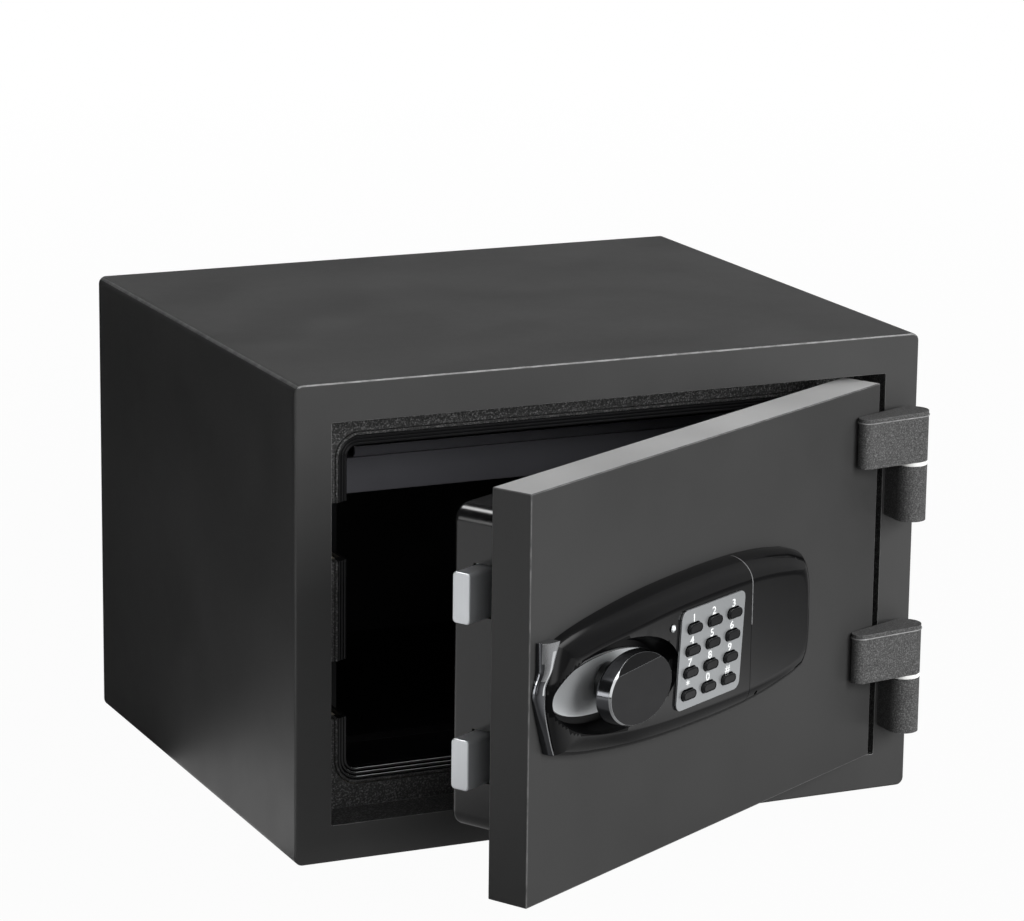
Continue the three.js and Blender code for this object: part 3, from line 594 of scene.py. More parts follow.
@dataclass(frozen=True)
class Finish:
    """A surface finish: its colour, gloss and the pattern that its making leaves."""

    name: str
    colour: str
    roughness: float
    metallic: float = 0.0
    specular: float = 0.5
    coat: float = 0.0
    coat_roughness: float = 0.05
    mottle: float = 0.06
    mottle_size: float = 60 * MM
    grain_size: float = 0.6 * MM
    grain_height: float = 0.02 * MM
    roughness_spread: float = 0.05

    def material(self) -> bpy.types.Material:
        """Builds the material once: colour and gloss follow one pattern, the surface its relief.

        Returns:
            The material.
        """
        found = bpy.data.materials.get(self.name)
        if found:
            return found
        made = bpy.data.materials.new(self.name)
        made.use_nodes = True
        tree = made.node_tree
        shader = next(n for n in tree.nodes if n.type == "BSDF_PRINCIPLED")
        shader.inputs["Metallic"].default_value = self.metallic
        shader.inputs["Specular IOR Level"].default_value = self.specular
        shader.inputs["Coat Weight"].default_value = self.coat
        shader.inputs["Coat Roughness"].default_value = self.coat_roughness
        place = add_node(tree, "ShaderNodeTexCoord", {}).outputs["Object"]
        pattern = self.pattern(tree, place)
        gloss = add_node(tree, "ShaderNodeMapRange", {
            "From Min": 0.3, "From Max": 0.7, "To Min": self.roughness - self.roughness_spread,
            "To Max": self.roughness + self.roughness_spread, "Value": pattern,
        })
        relief = add_node(tree, "ShaderNodeBump", {
            "Strength": 1.0, "Distance": self.grain_height, "Height": self.relief(tree, place, pattern),
        })
        tree.links.new(self.colours(tree, place, pattern), shader.inputs["Base Color"])
        tree.links.new(gloss.outputs["Result"], shader.inputs["Roughness"])
        tree.links.new(relief.outputs["Normal"], shader.inputs["Normal"])
        return made

    def pattern(self, tree: Tree, place: Socket) -> Socket:
        """The slow mottling that colour and gloss follow, from 0 to 1."""
        return add_node(tree, "ShaderNodeTexNoise", {
            "Scale": 1 / self.mottle_size, "Detail": 4.0, "Roughness": NOISE_ROUGHNESS, "Vector": place,
        }).outputs["Fac"]

    def relief(self, tree: Tree, place: Socket, pattern: Socket) -> Socket:
        """The fine grain that raises the surface, from 0 to 1."""
        return add_node(tree, "ShaderNodeTexNoise", {
            "Scale": 1 / self.grain_size, "Detail": 3.0, "Roughness": NOISE_ROUGHNESS, "Vector": place,
        }).outputs["Fac"]

    def tinted(self, tree: Tree, pattern: Socket, stops: Sequence[Tuple[float, Tuple[float, ...]]]) -> Socket:
        """A colour that follows a pattern.

        Args:
            tree: the node tree.
            pattern: the pattern.
            stops: pairs of the pattern's value and the colour there.

        Returns:
            The colour.
        """
        made = add_node(tree, "ShaderNodeValToRGB", {"Fac": pattern})
        elements = made.color_ramp.elements
        elements[0].position, elements[0].color = stops[0]
        elements[1].position, elements[1].color = stops[-1]
        for position, colour in stops[1:-1]:
            elements.new(position).color = colour
        return made.outputs["Color"]

    def strayed(self, colour: str) -> Sequence[Tuple[float, Tuple[float, ...]]]:
        """The stops for a colour that grows darker and lighter by the mottling's share."""
        return (0.3, linear(colour, 1 - self.mottle)), (0.7, linear(colour, 1 + self.mottle))

    def colours(self, tree: Tree, place: Socket, pattern: Socket) -> Socket:
        """The surface's colour."""
        return self.tinted(tree, pattern, self.strayed(self.colour))


@dataclass(frozen=True)
class PowderCoat(Finish):
    """Sprayed polyester powder, baked. The eye sees a satin skin with a faint orange peel."""

    peel_size: float = 2.2 * MM

    def relief(self, tree: Tree, place: Socket, pattern: Socket) -> Socket:
        """Fine grain on top of the orange peel.

        Args:
            tree: the node tree.
            place: the coordinates of the surface.
            pattern: the mottling, which the coat's surface doesn't follow.

        Returns:
            The height, from 0 to 2.
        """
        parts = [
            add_node(tree, "ShaderNodeTexNoise", {
                "Scale": 1 / size, "Detail": detail, "Roughness": NOISE_ROUGHNESS, "Vector": place,
            }).outputs["Fac"]
            for size, detail in ((self.grain_size, 2.0), (self.peel_size, 1.0))
        ]
        both = add_node(tree, "ShaderNodeMath", {"operation": "ADD", 0: parts[0], 1: parts[1]})
        return both.outputs["Value"]


@dataclass(frozen=True)
class SpeckledPaint(Finish):
    """Hammer-textured paint with light and dark specks, drawn about 0.9 mm wide so that they show."""

    speck: str = "#7a7a7a"
    speck_size: float = 0.9 * MM
    # The paint is glossier on its raised specks
    roughness_spread: float = -0.05

    def pattern(self, tree: Tree, place: Socket) -> Socket:
        """The grit under the paint."""
        return add_node(tree, "ShaderNodeTexNoise", {
            "Scale": 1 / self.speck_size, "Detail": 5.0, "Roughness": NOISE_ROUGHNESS, "Vector": place,
        }).outputs["Fac"]

    def relief(self, tree: Tree, place: Socket, pattern: Socket) -> Socket:
        """The surface follows the grit."""
        return pattern

    def colours(self, tree: Tree, place: Socket, pattern: Socket) -> Socket:
        """Dark pits, the paint's own colour and pale specks."""
        pit, paint = linear(self.colour, 0.45), linear(self.colour)
        return self.tinted(tree, pattern, ((0.34, pit), (0.52, paint), (0.72, linear(self.speck))))


@dataclass(frozen=True)
class BrushedPlate(Finish):
    """Plated metal, brushed one way before plating. The eye sees short fine streaks."""

    streak: Tuple[float, float, float] = (0.4 * MM, 0.4 * MM, 14 * MM)

    def pattern(self, tree: Tree, place: Socket) -> Socket:
        """The streaks, as long and as wide as given along each axis.

        Args:
            tree: the node tree.
            place: the coordinates of the surface.

        Returns:
            The streaks, from 0 to 1.
        """
        scale = tuple(1 / length for length in self.streak)
        stretch = add_node(tree, "ShaderNodeMapping", {"Scale": scale, "Vector": place})
        streaks = {"Scale": 1.0, "Detail": 3.0, "Vector": stretch.outputs["Vector"]}
        return add_node(tree, "ShaderNodeTexNoise", streaks).outputs["Fac"]

    def relief(self, tree: Tree, place: Socket, pattern: Socket) -> Socket:
        """The surface follows the streaks."""
        return pattern


@dataclass(frozen=True)
class PanWithPaintedTopHighlight(PowderCoat):
    """The door pan's coat, with a pale band painted along its top return as a painted highlight."""

    top_highlight_colour: str = "#c8c8c8"
    top_highlight_height: float = 0.0

    def colours(self, tree: Tree, place: Socket, pattern: Socket) -> Socket:
        """The coat's colour, and the painted highlight along the top return over it.

        Args:
            tree: the node tree.
            place: the coordinates of the surface.
            pattern: the mottling.

        Returns:
            The colour.
        """
        # Painted highlight: the colour turns pale within the last half millimetre below the pan's top
        height = add_node(tree, "ShaderNodeSeparateXYZ", {"Vector": place}).outputs["Z"]
        edge = add_node(tree, "ShaderNodeMapRange", {
            "From Min": self.top_highlight_height - 0.5 * MM, "From Max": self.top_highlight_height - 0.2 * MM,
            "Value": height,
        })
        return add_node(tree, "ShaderNodeMix", {
            "data_type": "RGBA", 0: edge.outputs["Result"], 6: super().colours(tree, place, pattern),
            7: self.tinted(tree, pattern, self.strayed(self.top_highlight_colour)),
        }).outputs[2]


@dataclass(frozen=True)
class BoardFinish(Finish):
    """Black solder mask over copper tracks."""

    track_pitch: float = 1.3 * MM

    def colours(self, tree: Tree, place: Socket, pattern: Socket) -> Socket:
        """The mask's colour, with paler tracks under it.

        Args:
            tree: the node tree.
            place: the coordinates of the surface.
            pattern: the mottling.

        Returns:
            The colour.
        """
        tracks = add_node(tree, "ShaderNodeTexBrick", {
            "Scale": 1 / self.track_pitch, "Mortar Size": 0.12, "Color1": linear("#1b1e1d"),
            "Color2": linear("#121413"), "Mortar": linear("#0c0e0d"), "Vector": place,
        })
        return add_node(tree, "ShaderNodeMix", {
            "data_type": "RGBA", 0: 0.5, 6: super().colours(tree, place, pattern),
            7: tracks.outputs["Color"],
        }).outputs[2]


@dataclass
class Finishes:
    """Every finish on the safe, named for what the real surface is, or for the light or shade painted into
    it.
    """

    layout: Layout
    # Dark grey and satin, so that faces differ by their light more than by their gloss
    body: Finish = PowderCoat("charcoal powder coat", "#414141", 0.5, mottle=0.07)
    # A pale broken line on edges: partly the coat thinned by handling, partly a painted highlight on the
    # roundings that catch the light
    edge: Finish = PowderCoat(
        "powder coat worn thin, with a painted edge highlight", "#8c8c8c", 0.45, specular=0.4, mottle=0.4, mottle_size=7 * MM
    )
    # The same on every rounded edge of the door, where it shows less: worn coat and painted highlight
    pan_edge: Finish = PowderCoat(
        "door coat worn thin, with a painted edge highlight", "#5c5c5c", 0.45, specular=0.4, mottle=0.4, mottle_size=7 * MM
    )
    # Coarse glittering grit on the hinges
    textured: Finish = SpeckledPaint(
        "speckled hammer paint", "#4c4c4c", 0.42, grain_height=0.3 * MM, speck="#757575"
    )
    # Darker grit in the rebate round the mouth
    rebate: Finish = SpeckledPaint(
        "speckled rebate paint", "#3c3c3c", 0.5, specular=0.4, grain_height=0.3 * MM, speck="#868686",
        speck_size=1.1 * MM,
    )
    # Deep black with a soft sheen, so that the compartment stays dark
    liner: Finish = Finish(
        "black moulded liner", "#0e0e0f", 0.38, specular=0.4, grain_size=0.5 * MM, grain_height=0.03 * MM
    )
    # A narrow highlight along each rounded bead
    bead: Finish = Finish(
        "polished liner bead", "#1c1c1d", 0.14, specular=0.6, mottle=0.15, grain_size=3 * MM,
        grain_height=0.01 * MM,
    )
    # Painted highlight: fine bright lines on the up-facing crests of the beads at the bottom of the mouth
    painted_crest_highlight: Finish = Finish(
        "liner bead with a painted crest highlight", "#a9aaab", 0.2, metallic=0.6, mottle=0.2, mottle_size=9 * MM,
        grain_size=3 * MM, grain_height=0.01 * MM,
    )
    # Near-black with sharp reflections of the studio's cards
    gloss: Finish = Finish(
        "piano black moulding", "#0b0b0c", 0.09, mottle=0.2, grain_size=6 * MM, grain_height=0.003 * MM,
        roughness_spread=0.02,
    )
    # Black with broad, slightly wavy reflections
    plug: Finish = Finish(
        "black vacuum-formed plug cover", "#1c1c1d", 0.2, mottle=0.1, grain_size=8 * MM,
        grain_height=0.01 * MM, roughness_spread=0.03,
    )
    # A dull grey band under the dark ceiling
    drawer: Finish = Finish(
        "grey satin drawer moulding", "#49494d", 0.42, specular=0.45, grain_size=0.5 * MM
    )
    # Painted highlight: the bright line along the top front edge of the drawer's lip
    drawer_lip_painted_highlight: Finish = Finish(
        "drawer edge with a painted highlight", "#b9babb", 0.25, mottle=0.1, grain_size=0.5 * MM, grain_height=0.01 * MM
    )
    # Flat dark grey against the shiny wall of the knob
    knob_cap: Finish = Finish(
        "satin black knob cap", "#1c1c1d", 0.34, specular=0.28, mottle=0.12, mottle_size=9 * MM,
        grain_size=0.4 * MM, grain_height=0.006 * MM,
    )
    # Painted highlight: a broken grey line along the upper half of the cover's seam
    seam_painted_highlight: Finish = Finish(
        "piano black with a painted seam highlight", "#6d6d6e", 0.2, mottle=0.4, mottle_size=5 * MM,
        grain_size=2 * MM, grain_height=0.01 * MM,
    )
    # Soft streaked metal on the solenoid's plunger
    satin_chrome: Finish = BrushedPlate(
        "satin chrome plate", "#c8ccd0", 0.26, metallic=1.0, mottle=0.05, grain_height=0.004 * MM
    )
    # Mirror-bright rims and crests
    bright_chrome: Finish = Finish(
        "bright chrome plate", "#d6d8da", 0.07, metallic=1.0, mottle=0.02, grain_size=5 * MM,
        grain_height=0.004 * MM, roughness_spread=0.02,
    )
    # Satin chrome, lighter than the darkened chrome: painted light on the grip's upper panel and on a strip
    # along its lower front
    grip_chrome_painted_light: Finish = BrushedPlate(
        "satin chrome casting painted lighter", "#b2b3b5", 0.28, metallic=1.0, grain_height=0.003 * MM,
        streak=(0.4 * MM, 0.4 * MM, 8 * MM),
    )
    # Chrome darkened as painted shade on the knob's wall and the grip's wall; it mirrors only the bright
    # cards
    chrome_painted_dark: Finish = Finish(
        "chrome casting darkened as painted shade", "#5e5f62", 0.16, metallic=1.0, mottle=0.08, mottle_size=12 * MM,
        grain_size=4 * MM, grain_height=0.004 * MM, roughness_spread=0.04,
    )
    # Pale even metal, the brightest thing beside the dark plug
    bolt_nickel: Finish = BrushedPlate(
        "satin nickel bolt", "#e2e5e8", 0.3, metallic=0.6, mottle=0.02, grain_height=0.002 * MM,
        roughness_spread=0.02,
    )
    # Mottled grey metal on the hidden steel parts
    zinc: Finish = Finish(
        "zinc-plated steel", "#9fa3a6", 0.38, metallic=1.0, mottle=0.15, mottle_size=7 * MM,
        grain_height=0.01 * MM, roughness_spread=0.1,
    )
    # The thin white rings between the hinge halves
    nylon: Finish = Finish("white nylon", "#f0f0ee", 0.42, specular=0.45, mottle=0.03)
    # Dull black without highlights
    rubber: Finish = Finish("black sealing rubber", "#151516", 0.7, specular=0.3, grain_height=0.04 * MM)
    # Small sharp glints on the dished key tops
    key_rubber: Finish = Finish(
        "polished silicone key rubber", "#0c0d0f", 0.13, specular=0.35, mottle=0.2, mottle_size=3 * MM,
        grain_size=1.2 * MM, grain_height=0.03 * MM,
    )
    # Light grey with faint streaks across
    silver: Finish = BrushedPlate(
        "satin silver plate", "#c2c5c7", 0.34, metallic=0.75, mottle=0.04, grain_height=0.003 * MM,
        streak=(9 * MM, 0.3 * MM, 0.3 * MM),
    )
    # The same plating, painted lighter to make up for the shade inside the well
    oval_silver_painted_light: Finish = BrushedPlate(
        "satin silver oval painted lighter", "#e2e5e7", 0.34, metallic=0.75, mottle=0.04, grain_height=0.003 * MM,
        streak=(9 * MM, 0.3 * MM, 0.3 * MM),
    )
    # Painted shade: a darker, duller copy of the piano black on the well round the knob
    well_painted_shade: Finish = Finish(
        "black well wall darkened as painted shade", "#060607", 0.3, specular=0.15, mottle=0.2, grain_size=6 * MM,
        grain_height=0.003 * MM, roughness_spread=0.02,
    )
    # Chalky and pale, as the fill looks when a wall is open
    fill: Finish = Finish(
        "cast gypsum and cement fill", "#b5afa3", 0.9, specular=0.2, mottle=0.15, mottle_size=12 * MM,
        grain_size=1.2 * MM, grain_height=0.2 * MM,
    )
    # Nearly black, with the tracks just showing
    board: Finish = BoardFinish("black solder mask", "#121413", 0.35, mottle=0.1)
    # Dark printed foil without print
    cell: Finish = Finish("dark battery sleeve", "#34393f", 0.3, mottle=0.08, mottle_size=8 * MM)
    # Flat white, raised by a film of ink
    print_white: Finish = Finish("white pad-printed ink", "#eceeee", 0.5, mottle=0.04, mottle_size=1 * MM)
    # A bright dot that shines under its clear skin
    lens: Finish = Finish("clear moulded lens", "#f2f7f8", 0.06, specular=0.6, mottle=0.03, coat=0.6)
    pan: Finish = field(init=False)

    def __post_init__(self) -> None:
        """Sets the finish that depends on the door's height: a plain coat with a painted highlight on its top
        return.
        """
        top = self.layout.box("door_skin").high.z
        self.pan = PanWithPaintedTopHighlight("door pan powder coat with a painted top highlight", "#383838", 0.42, specular=0.35, top_highlight_height=top)


@dataclass
class Assembly:
    """What every sub-assembly shares: the places of the nodes and the finishes."""

    layout: Layout
    finishes: Finishes


@dataclass
class Cabinet(Assembly):
    """The wrapper, front frame, back panel, liner, drawer and the hinge halves fixed to the frame."""

    sheet: float = 2 * MM
    long_edge: float = 5 * MM
    rim: float = 1.5 * MM
    door_gap: float = 3.5 * MM
    shoulder_corner: float = 16 * MM
    shoulder_fit: float = 0.3 * MM
    bead_count: int = 4
    bead_width: float = 2.3 * MM
    bead_step: float = 1.1 * MM
    bead_gap: float = 0.25 * MM
    mouth_depth: float = 9 * MM
    liner_wall: float = 2 * MM
    throat_depth: float = 53 * MM
    notch_reach: float = 7.9 * MM
    notch_height: float = 3.2 * MM
    compartment_floor: float = 51 * MM
    compartment_ceiling: float = 246 * MM
    compartment_corner: float = 8 * MM
    washer_bore: float = 4.3 * MM
    drawer_wall: float = 1.8 * MM
    drawer_front: float = 2.5 * MM
    lip_height: float = 9.5 * MM
    lip_drop: float = 3.4 * MM
    lip_inset: float = 6.5 * MM
    lip_setback: float = 1 * MM
    lip_web: float = 1.2 * MM
    slot_height: float = 1.5 * MM
    slot_depth: float = 2.9 * MM
    # How far the slot under the lip is cut into the front's top edge
    slot_sink: float = 0.4 * MM
    tray_inset: float = 6 * MM
    flange: float = 2 * MM
    flange_drop: float = 1 * MM
    body: str = "cabinet"

    def build(self) -> None:
        """Builds and dresses every piece of the cabinet."""
        self.wrapper()
        self.frame_plate()
        self.rear_sheet()
        self.liner()
        self.drawer()
        self.knuckles()

    def wrapper(self) -> None:
        """The bent sheet round the sides, top and bottom."""
        space = self.layout.box("outer_shell")
        hollow = space.grown(-self.sheet, self.sheet, -self.sheet)
        inner = Piece.block("hollow", hollow).round_along(Side.BACK, self.long_edge - self.sheet)
        shell = Piece.block("cabinet_wrapper", space).round_along(Side.BACK, self.long_edge, CORNER_STEPS)
        shell.cut(inner).smooth()
        # Painted highlight: the upper faces of the top long roundings take the pale worn-coat finish
        shell.dress(self.finishes.body, self.finishes.edge, lambda middle, normal: (
            normal.z > 0.62 and abs(normal.x) > 0.5 and middle.z > space.high.z - self.long_edge
        ))
        shell.hand_in(self.body, "body_paint", self.finishes.body, "outer_shell")

    def notches(self, start: float, end: float) -> List[Piece]:
        """Cutters for the slots that the swinging bolts pass through.

        Args:
            start: the front of the slots.
            end: their back.

        Returns:
            One cutter for each bolt.
        """
        made = []
        for place in ("upper", "lower"):
            bolt = self.layout.shut_box(f"bolt_{place}")
            slot = bolt.grown(0, 0, self.notch_height).between(Side.BACK, start, end)
            slot = slot.between(Side.LEFT, bolt.low.x - self.notch_reach, 0)
            made.append(Piece.block("slot", slot))
        return made

    def frame_plate(self) -> None:
        """The front plate with the rebate that the door closes into and the speckled shoulder."""
        whole = self.layout.box("front_frame")
        door = self.layout.shut_box("door_skin").grown(self.door_gap, 0, self.door_gap)
        liner = self.layout.box("compartment_liner")
        face, shoulder = whole.low.y, liner.low.y
        rear = shoulder + self.sheet
        plate = Piece.block("frame_plate", whole.between(Side.BACK, face, face + self.sheet))
        plate.round_along(Side.BACK, self.long_edge, CORNER_STEPS).round_rim(Side.FRONT, self.rim)
        collar = door.grown(self.sheet, 0, self.sheet).between(Side.BACK, face + self.sheet / 2, rear)
        plate.weld(Piece.block("collar", collar))
        opening = Piece.block("opening", door.between(Side.BACK, face - OVER, shoulder))
        opening.round_along(Side.BACK, 1 * MM, 3)
        throat = liner.grown(self.shoulder_fit, 0, self.shoulder_fit)
        hole = Piece.block("hole", throat.between(Side.BACK, shoulder - OVER, rear + OVER))
        hole.round_along(Side.BACK, self.shoulder_corner, CORNER_STEPS)
        plate.cut(opening, hole, *self.notches(shoulder - OVER, rear + OVER))
        plate.soften(0.7 * MM).smooth()
        plate.dress(self.finishes.body, self.finishes.rebate, lambda middle, normal: (
            middle.y > face + self.sheet / 2 and abs(middle.x) < collar.high.x
        ))
        # Painted highlight: the front-facing roundings of the top rim and of the opening take the pale
        # worn-coat finish
        plate.dress(self.finishes.body, self.finishes.edge, lambda middle, normal: (
            middle.y < face + self.rim and 0.35 < -normal.y < 0.9
            and (normal.z > 0.3 and middle.z > whole.high.z - self.rim
                 or collar.low.z < middle.z < collar.high.z and abs(middle.x) < collar.high.x)
        ))
        plate.hand_in(self.body, "body_paint", self.finishes.body, "front_frame")

    def rear_sheet(self) -> None:
        """The flat back panel with eased edges."""
        panel = Piece.block("rear_sheet", self.layout.box("back_panel"))
        panel.round_along(Side.BACK, self.long_edge, CORNER_STEPS).round_rim(Side.BACK, self.rim).smooth()
        panel.hand_in(self.body, "body_paint", self.finishes.body, "back_panel")

    def bead(self, mouth: Extent, order: int) -> Piece:
        """One rounded bead of the ridged mouth.

        Args:
            mouth: the space of the whole mouth.
            order: 0 for the outermost bead.

        Returns:
            The bead.
        """
        outer_inset = order * self.bead_width + self.bead_gap / 2
        inner_inset = (order + 1) * self.bead_width - self.bead_gap / 2
        front = mouth.low.y + order * self.bead_step
        outer = mouth.grown(-outer_inset, 0, -outer_inset)
        outer = outer.between(Side.BACK, front, mouth.low.y + self.mouth_depth)
        ring = Piece.block(f"bead_{order}", outer)
        ring.round_along(Side.BACK, self.shoulder_corner - outer_inset, CORNER_STEPS)
        core = Piece.block("core", mouth.grown(-inner_inset, OVER, -inner_inset))
        core.round_along(Side.BACK, self.shoulder_corner - inner_inset, CORNER_STEPS)
        return ring.cut(core).soften(0.85 * MM, 3, 60)

    def liner(self) -> None:
        """The moulded liner: beaded mouth, throat and compartment."""
        whole = self.layout.box("compartment_liner")
        band = self.bead_count * self.bead_width
        start = whole.low.y
        throat_end = start + self.throat_depth
        half_width = self.layout.box("drawer_runner_right").high.x
        throat = whole.grown(-band, 0, -band)
        corner = self.shoulder_corner - band
        room = Extent(
            Vector((-half_width, throat_end - OVER, self.compartment_floor)),
            Vector((half_width, whole.high.y - self.liner_wall, self.compartment_ceiling)),
        )
        sleeve = throat.grown(self.liner_wall, 0, self.liner_wall)
        sleeve = sleeve.between(Side.BACK, start + self.mouth_depth - OVER, throat_end + self.liner_wall)
        shell = Piece.block("moulded_liner", sleeve).round_along(Side.BACK, corner + self.liner_wall)
        outside = room.grown(self.liner_wall, 0, self.liner_wall).between(Side.BACK, throat_end, whole.high.y)
        outside_corner = self.compartment_corner + self.liner_wall
        shell.weld(Piece.block("outside", outside).round_along(Side.BACK, outside_corner))
        hollow = throat.between(Side.BACK, start - OVER, throat_end)
        shell.cut(
            Piece.block("throat", hollow).round_along(Side.BACK, corner),
            Piece.block("room", room).round_along(Side.BACK, self.compartment_corner),
        )
        shell.cut(*self.notches(start, self.layout.shut_box("bolt_upper").high.y + 2 * MM))
        shell.soften(0.8 * MM, 2).paint(self.finishes.liner)
        beads = [self.bead(whole, order) for order in range(self.bead_count)]
        for order, bead in enumerate(beads):
            bead.cut(*self.notches(start - OVER, start + 3 * self.mouth_depth))
            finish = self.finishes.bead if order else self.finishes.rebate
            # Painted highlight: the up- and front-facing faces of the inner beads along the bottom take the
            # pale crest finish
            bead.dress(finish, self.finishes.painted_crest_highlight if order else finish, lambda middle, normal: (
                middle.z < whole.low.z + band + 1 * MM and 0.5 < normal.z < 0.9 and normal.y < -0.3
            ))
        shell.gather(*beads).smooth()
        shell.hand_in(self.body, "liner_plastic", self.finishes.liner, "compartment_liner")

    def drawer(self) -> None:
        """The drawer under the ceiling, with a lip set back above its front and a slot below the lip."""
        whole = self.layout.box("drawer")
        start, top = whole.low.y, whole.high.z - self.lip_height
        shoulder = top - self.flange_drop
        panel = whole.between(Side.BACK, start, start + self.drawer_front).between(Side.UP, whole.low.z, top)
        made = Piece.block("inner_drawer", panel).round_rim(Side.FRONT, 0.6 * MM, 3)
        foot = top - self.slot_sink
        lip = panel.grown(-self.lip_inset, 0, 0).between(Side.UP, foot, whole.high.z - self.lip_drop)
        lip = lip.between(Side.BACK, start + self.lip_setback, start + self.drawer_front + self.lip_web)
        made.weld(Piece.block("lip", lip))
        slot = panel.grown(OVER, 0, 0).between(Side.UP, foot, foot + self.slot_height)
        made.cut(Piece.block("slot", slot.between(Side.BACK, start - OVER, start + self.slot_depth)))
        behind = whole.between(Side.BACK, panel.high.y - 0.5 * MM, whole.high.y)
        tray = behind.grown(-self.tray_inset, 0, 0).between(Side.UP, whole.low.z, shoulder)
        ears = behind.between(Side.UP, shoulder - self.flange, shoulder)
        inside = tray.grown(-self.drawer_wall, -self.drawer_wall, 0)
        inside = inside.between(Side.UP, tray.low.z + self.drawer_wall, tray.high.z + self.drawer_wall)
        made.weld(Piece.block("tray", tray), Piece.block("ears", ears))
        made.cut(Piece.block("inside", inside).round_along(Side.UP, 3 * MM, 4))
        made.soften(0.6 * MM).smooth()
        # Painted highlight: the lip's top front rounding takes the pale finish
        made.dress(self.finishes.drawer, self.finishes.drawer_lip_painted_highlight, lambda middle, normal: (
            middle.z > lip.high.z - 1 * MM and normal.z > 0.2 and normal.y < -0.1
        ))
        made.hand_in("drawer_body", "drawer_plastic", self.finishes.drawer, "drawer")

    def knuckles(self) -> None:
        """The two hinge knuckles on the frame, each with its washer."""
        pin = self.layout.pin
        for place in ("upper", "lower"):
            space = self.layout.box(f"hinge_knuckle_{place}")
            middle = Vector((pin.x, pin.y, space.centre.z))
            barrel = Piece.rod(f"knuckle_{place}", middle, space.size.x / 2, space.size.z, Side.UP)
            neck = Piece.block("neck", space.between(Side.BACK, pin.y, space.high.y))
            barrel.weld(neck).soften(1.6 * MM, 4).smooth()
            barrel.hand_in(self.body, "textured_paint", self.finishes.textured, f"hinge_knuckle_{place}")
            ring = self.layout.box(f"hinge_washer_{place}")
            washer = Piece.rod(f"washer_{place}_ring", ring.centre, ring.size.x / 2, ring.size.z, Side.UP)
            bore = Piece.rod("bore", ring.centre, self.washer_bore, 2 * ring.size.z, Side.UP)
            washer.cut(bore).soften(0.5 * MM).smooth()
            washer.hand_in(self.body, "nylon", self.finishes.nylon, f"hinge_washer_{place}")


@dataclass
class Door(Assembly):
    """The pan, the plug cover behind it, the bolts and the hinge wings."""

    sheet: float = 2 * MM
    pan_edge: float = 0.7 * MM
    plug_corner: float = 10 * MM
    plug_edge: float = 4 * MM
    plug_wall: float = 2.5 * MM
    window_gap: float = 0.5 * MM
    bolt_edge: float = 2.6 * MM
    bolt_end: float = 0.9 * MM
    barrel_radius: float = 10 * MM
    tip_radius: float = 5.5 * MM
    groove_drop: float = 2.4 * MM
    groove_width: float = 0.6 * MM
    groove_depth: float = 0.5 * MM
    body: str = "door"

    def build(self) -> None:
        """Builds and dresses every piece of the door apart from its lock."""
        self.pan()
        self.plug()
        self.bolts()
        self.wings()

    def pan(self) -> None:
        """The folded steel pan."""
        space = self.layout.shut_box("door_skin")
        made = Piece.block("door_pan", space)
        hollow = space.grown(-self.sheet, 0, -self.sheet)
        hollow = hollow.between(Side.BACK, space.low.y + self.sheet, space.high.y + self.sheet)
        made.cut(Piece.block("hollow", hollow)).soften(self.pan_edge).smooth()
        # Painted highlight: every rounded edge of the pan takes the pale worn-coat finish
        made.dress(self.finishes.pan, self.finishes.pan_edge, on_rounding).place(self.layout.swing)
        made.hand_in(self.body, "door_paint", self.finishes.pan, "door_skin")

    def plug(self) -> None:
        """The black cover over the insulation and the works, with a window for each bolt."""
        space = self.layout.shut_box("door_plug_cover")
        made = Piece.block("plug_shell", space).round_along(Side.BACK, self.plug_corner, CORNER_STEPS)
        made.round_rim(Side.BACK, self.plug_edge, 6)
        hollow = space.grown(-self.plug_wall, 0, -self.plug_wall)
        hollow = hollow.between(Side.BACK, space.low.y - self.plug_wall, space.high.y - self.plug_wall)
        made.cut(Piece.block("hollow", hollow).round_along(Side.BACK, self.plug_corner - self.plug_wall))
        for place in ("upper", "lower"):
            bolt = self.layout.shut_box(f"bolt_{place}").grown(0, self.window_gap, self.window_gap)
            made.cut(Piece.block("window", bolt.between(Side.LEFT, space.low.x - OVER, space.low.x + 4 * MM)))
        made.smooth(30).place(self.layout.swing)
        made.hand_in(self.body, "gloss_black", self.finishes.plug, "door_plug_cover")

    def bolts(self) -> None:
        """The two square bolts."""
        for place in ("upper", "lower"):
            made = Piece.block(f"throw_bolt_{place}", self.layout.shut_box(f"bolt_{place}"))
            made.round_along(Side.LEFT, self.bolt_edge, 6).round_rim(Side.LEFT, self.bolt_end, 3).smooth()
            made.place(self.layout.swing)
            made.hand_in("bolt_body", "satin_chrome", self.finishes.bolt_nickel, f"bolt_{place}")

    def wings(self) -> None:
        """The hinge wings: a barrel over the pin that tapers to a rounded tip on the door's face."""
        for place in ("upper", "lower"):
            space = self.layout.shut_box(f"hinge_wing_{place}")
            pin = Vector((self.layout.pin.x, self.layout.pin.y, space.centre.z))
            tip = Vector((space.low.x + self.tip_radius, space.high.y - self.tip_radius, pin.z))
            barrel = Piece.rod("barrel", pin, self.barrel_radius, space.size.z, Side.UP)
            made = Piece.rod(f"wing_{place}", tip, self.tip_radius, space.size.z, Side.UP, 48)
            made.gather(barrel).edit_all()
            bpy.ops.mesh.convex_hull()
            groove_top = space.high.z - self.groove_drop
            groove_foot = groove_top - self.groove_width
            made.done().groove(Side.UP, groove_foot, groove_top, self.groove_depth)
            made.soften(0.7 * MM).smooth(30)
            # Painted highlight: the upper front rounding and the groove under it take the pale worn-coat
            # finish
            made.dress(self.finishes.textured, self.finishes.edge, lambda middle, normal: (
                middle.z > space.high.z - 1 * MM and 0.2 < normal.z < 0.95 and normal.y < 0
                or groove_foot < middle.z < groove_top
            )).place(self.layout.swing)
            made.hand_in(self.body, "textured_paint", self.finishes.textured, f"hinge_wing_{place}")


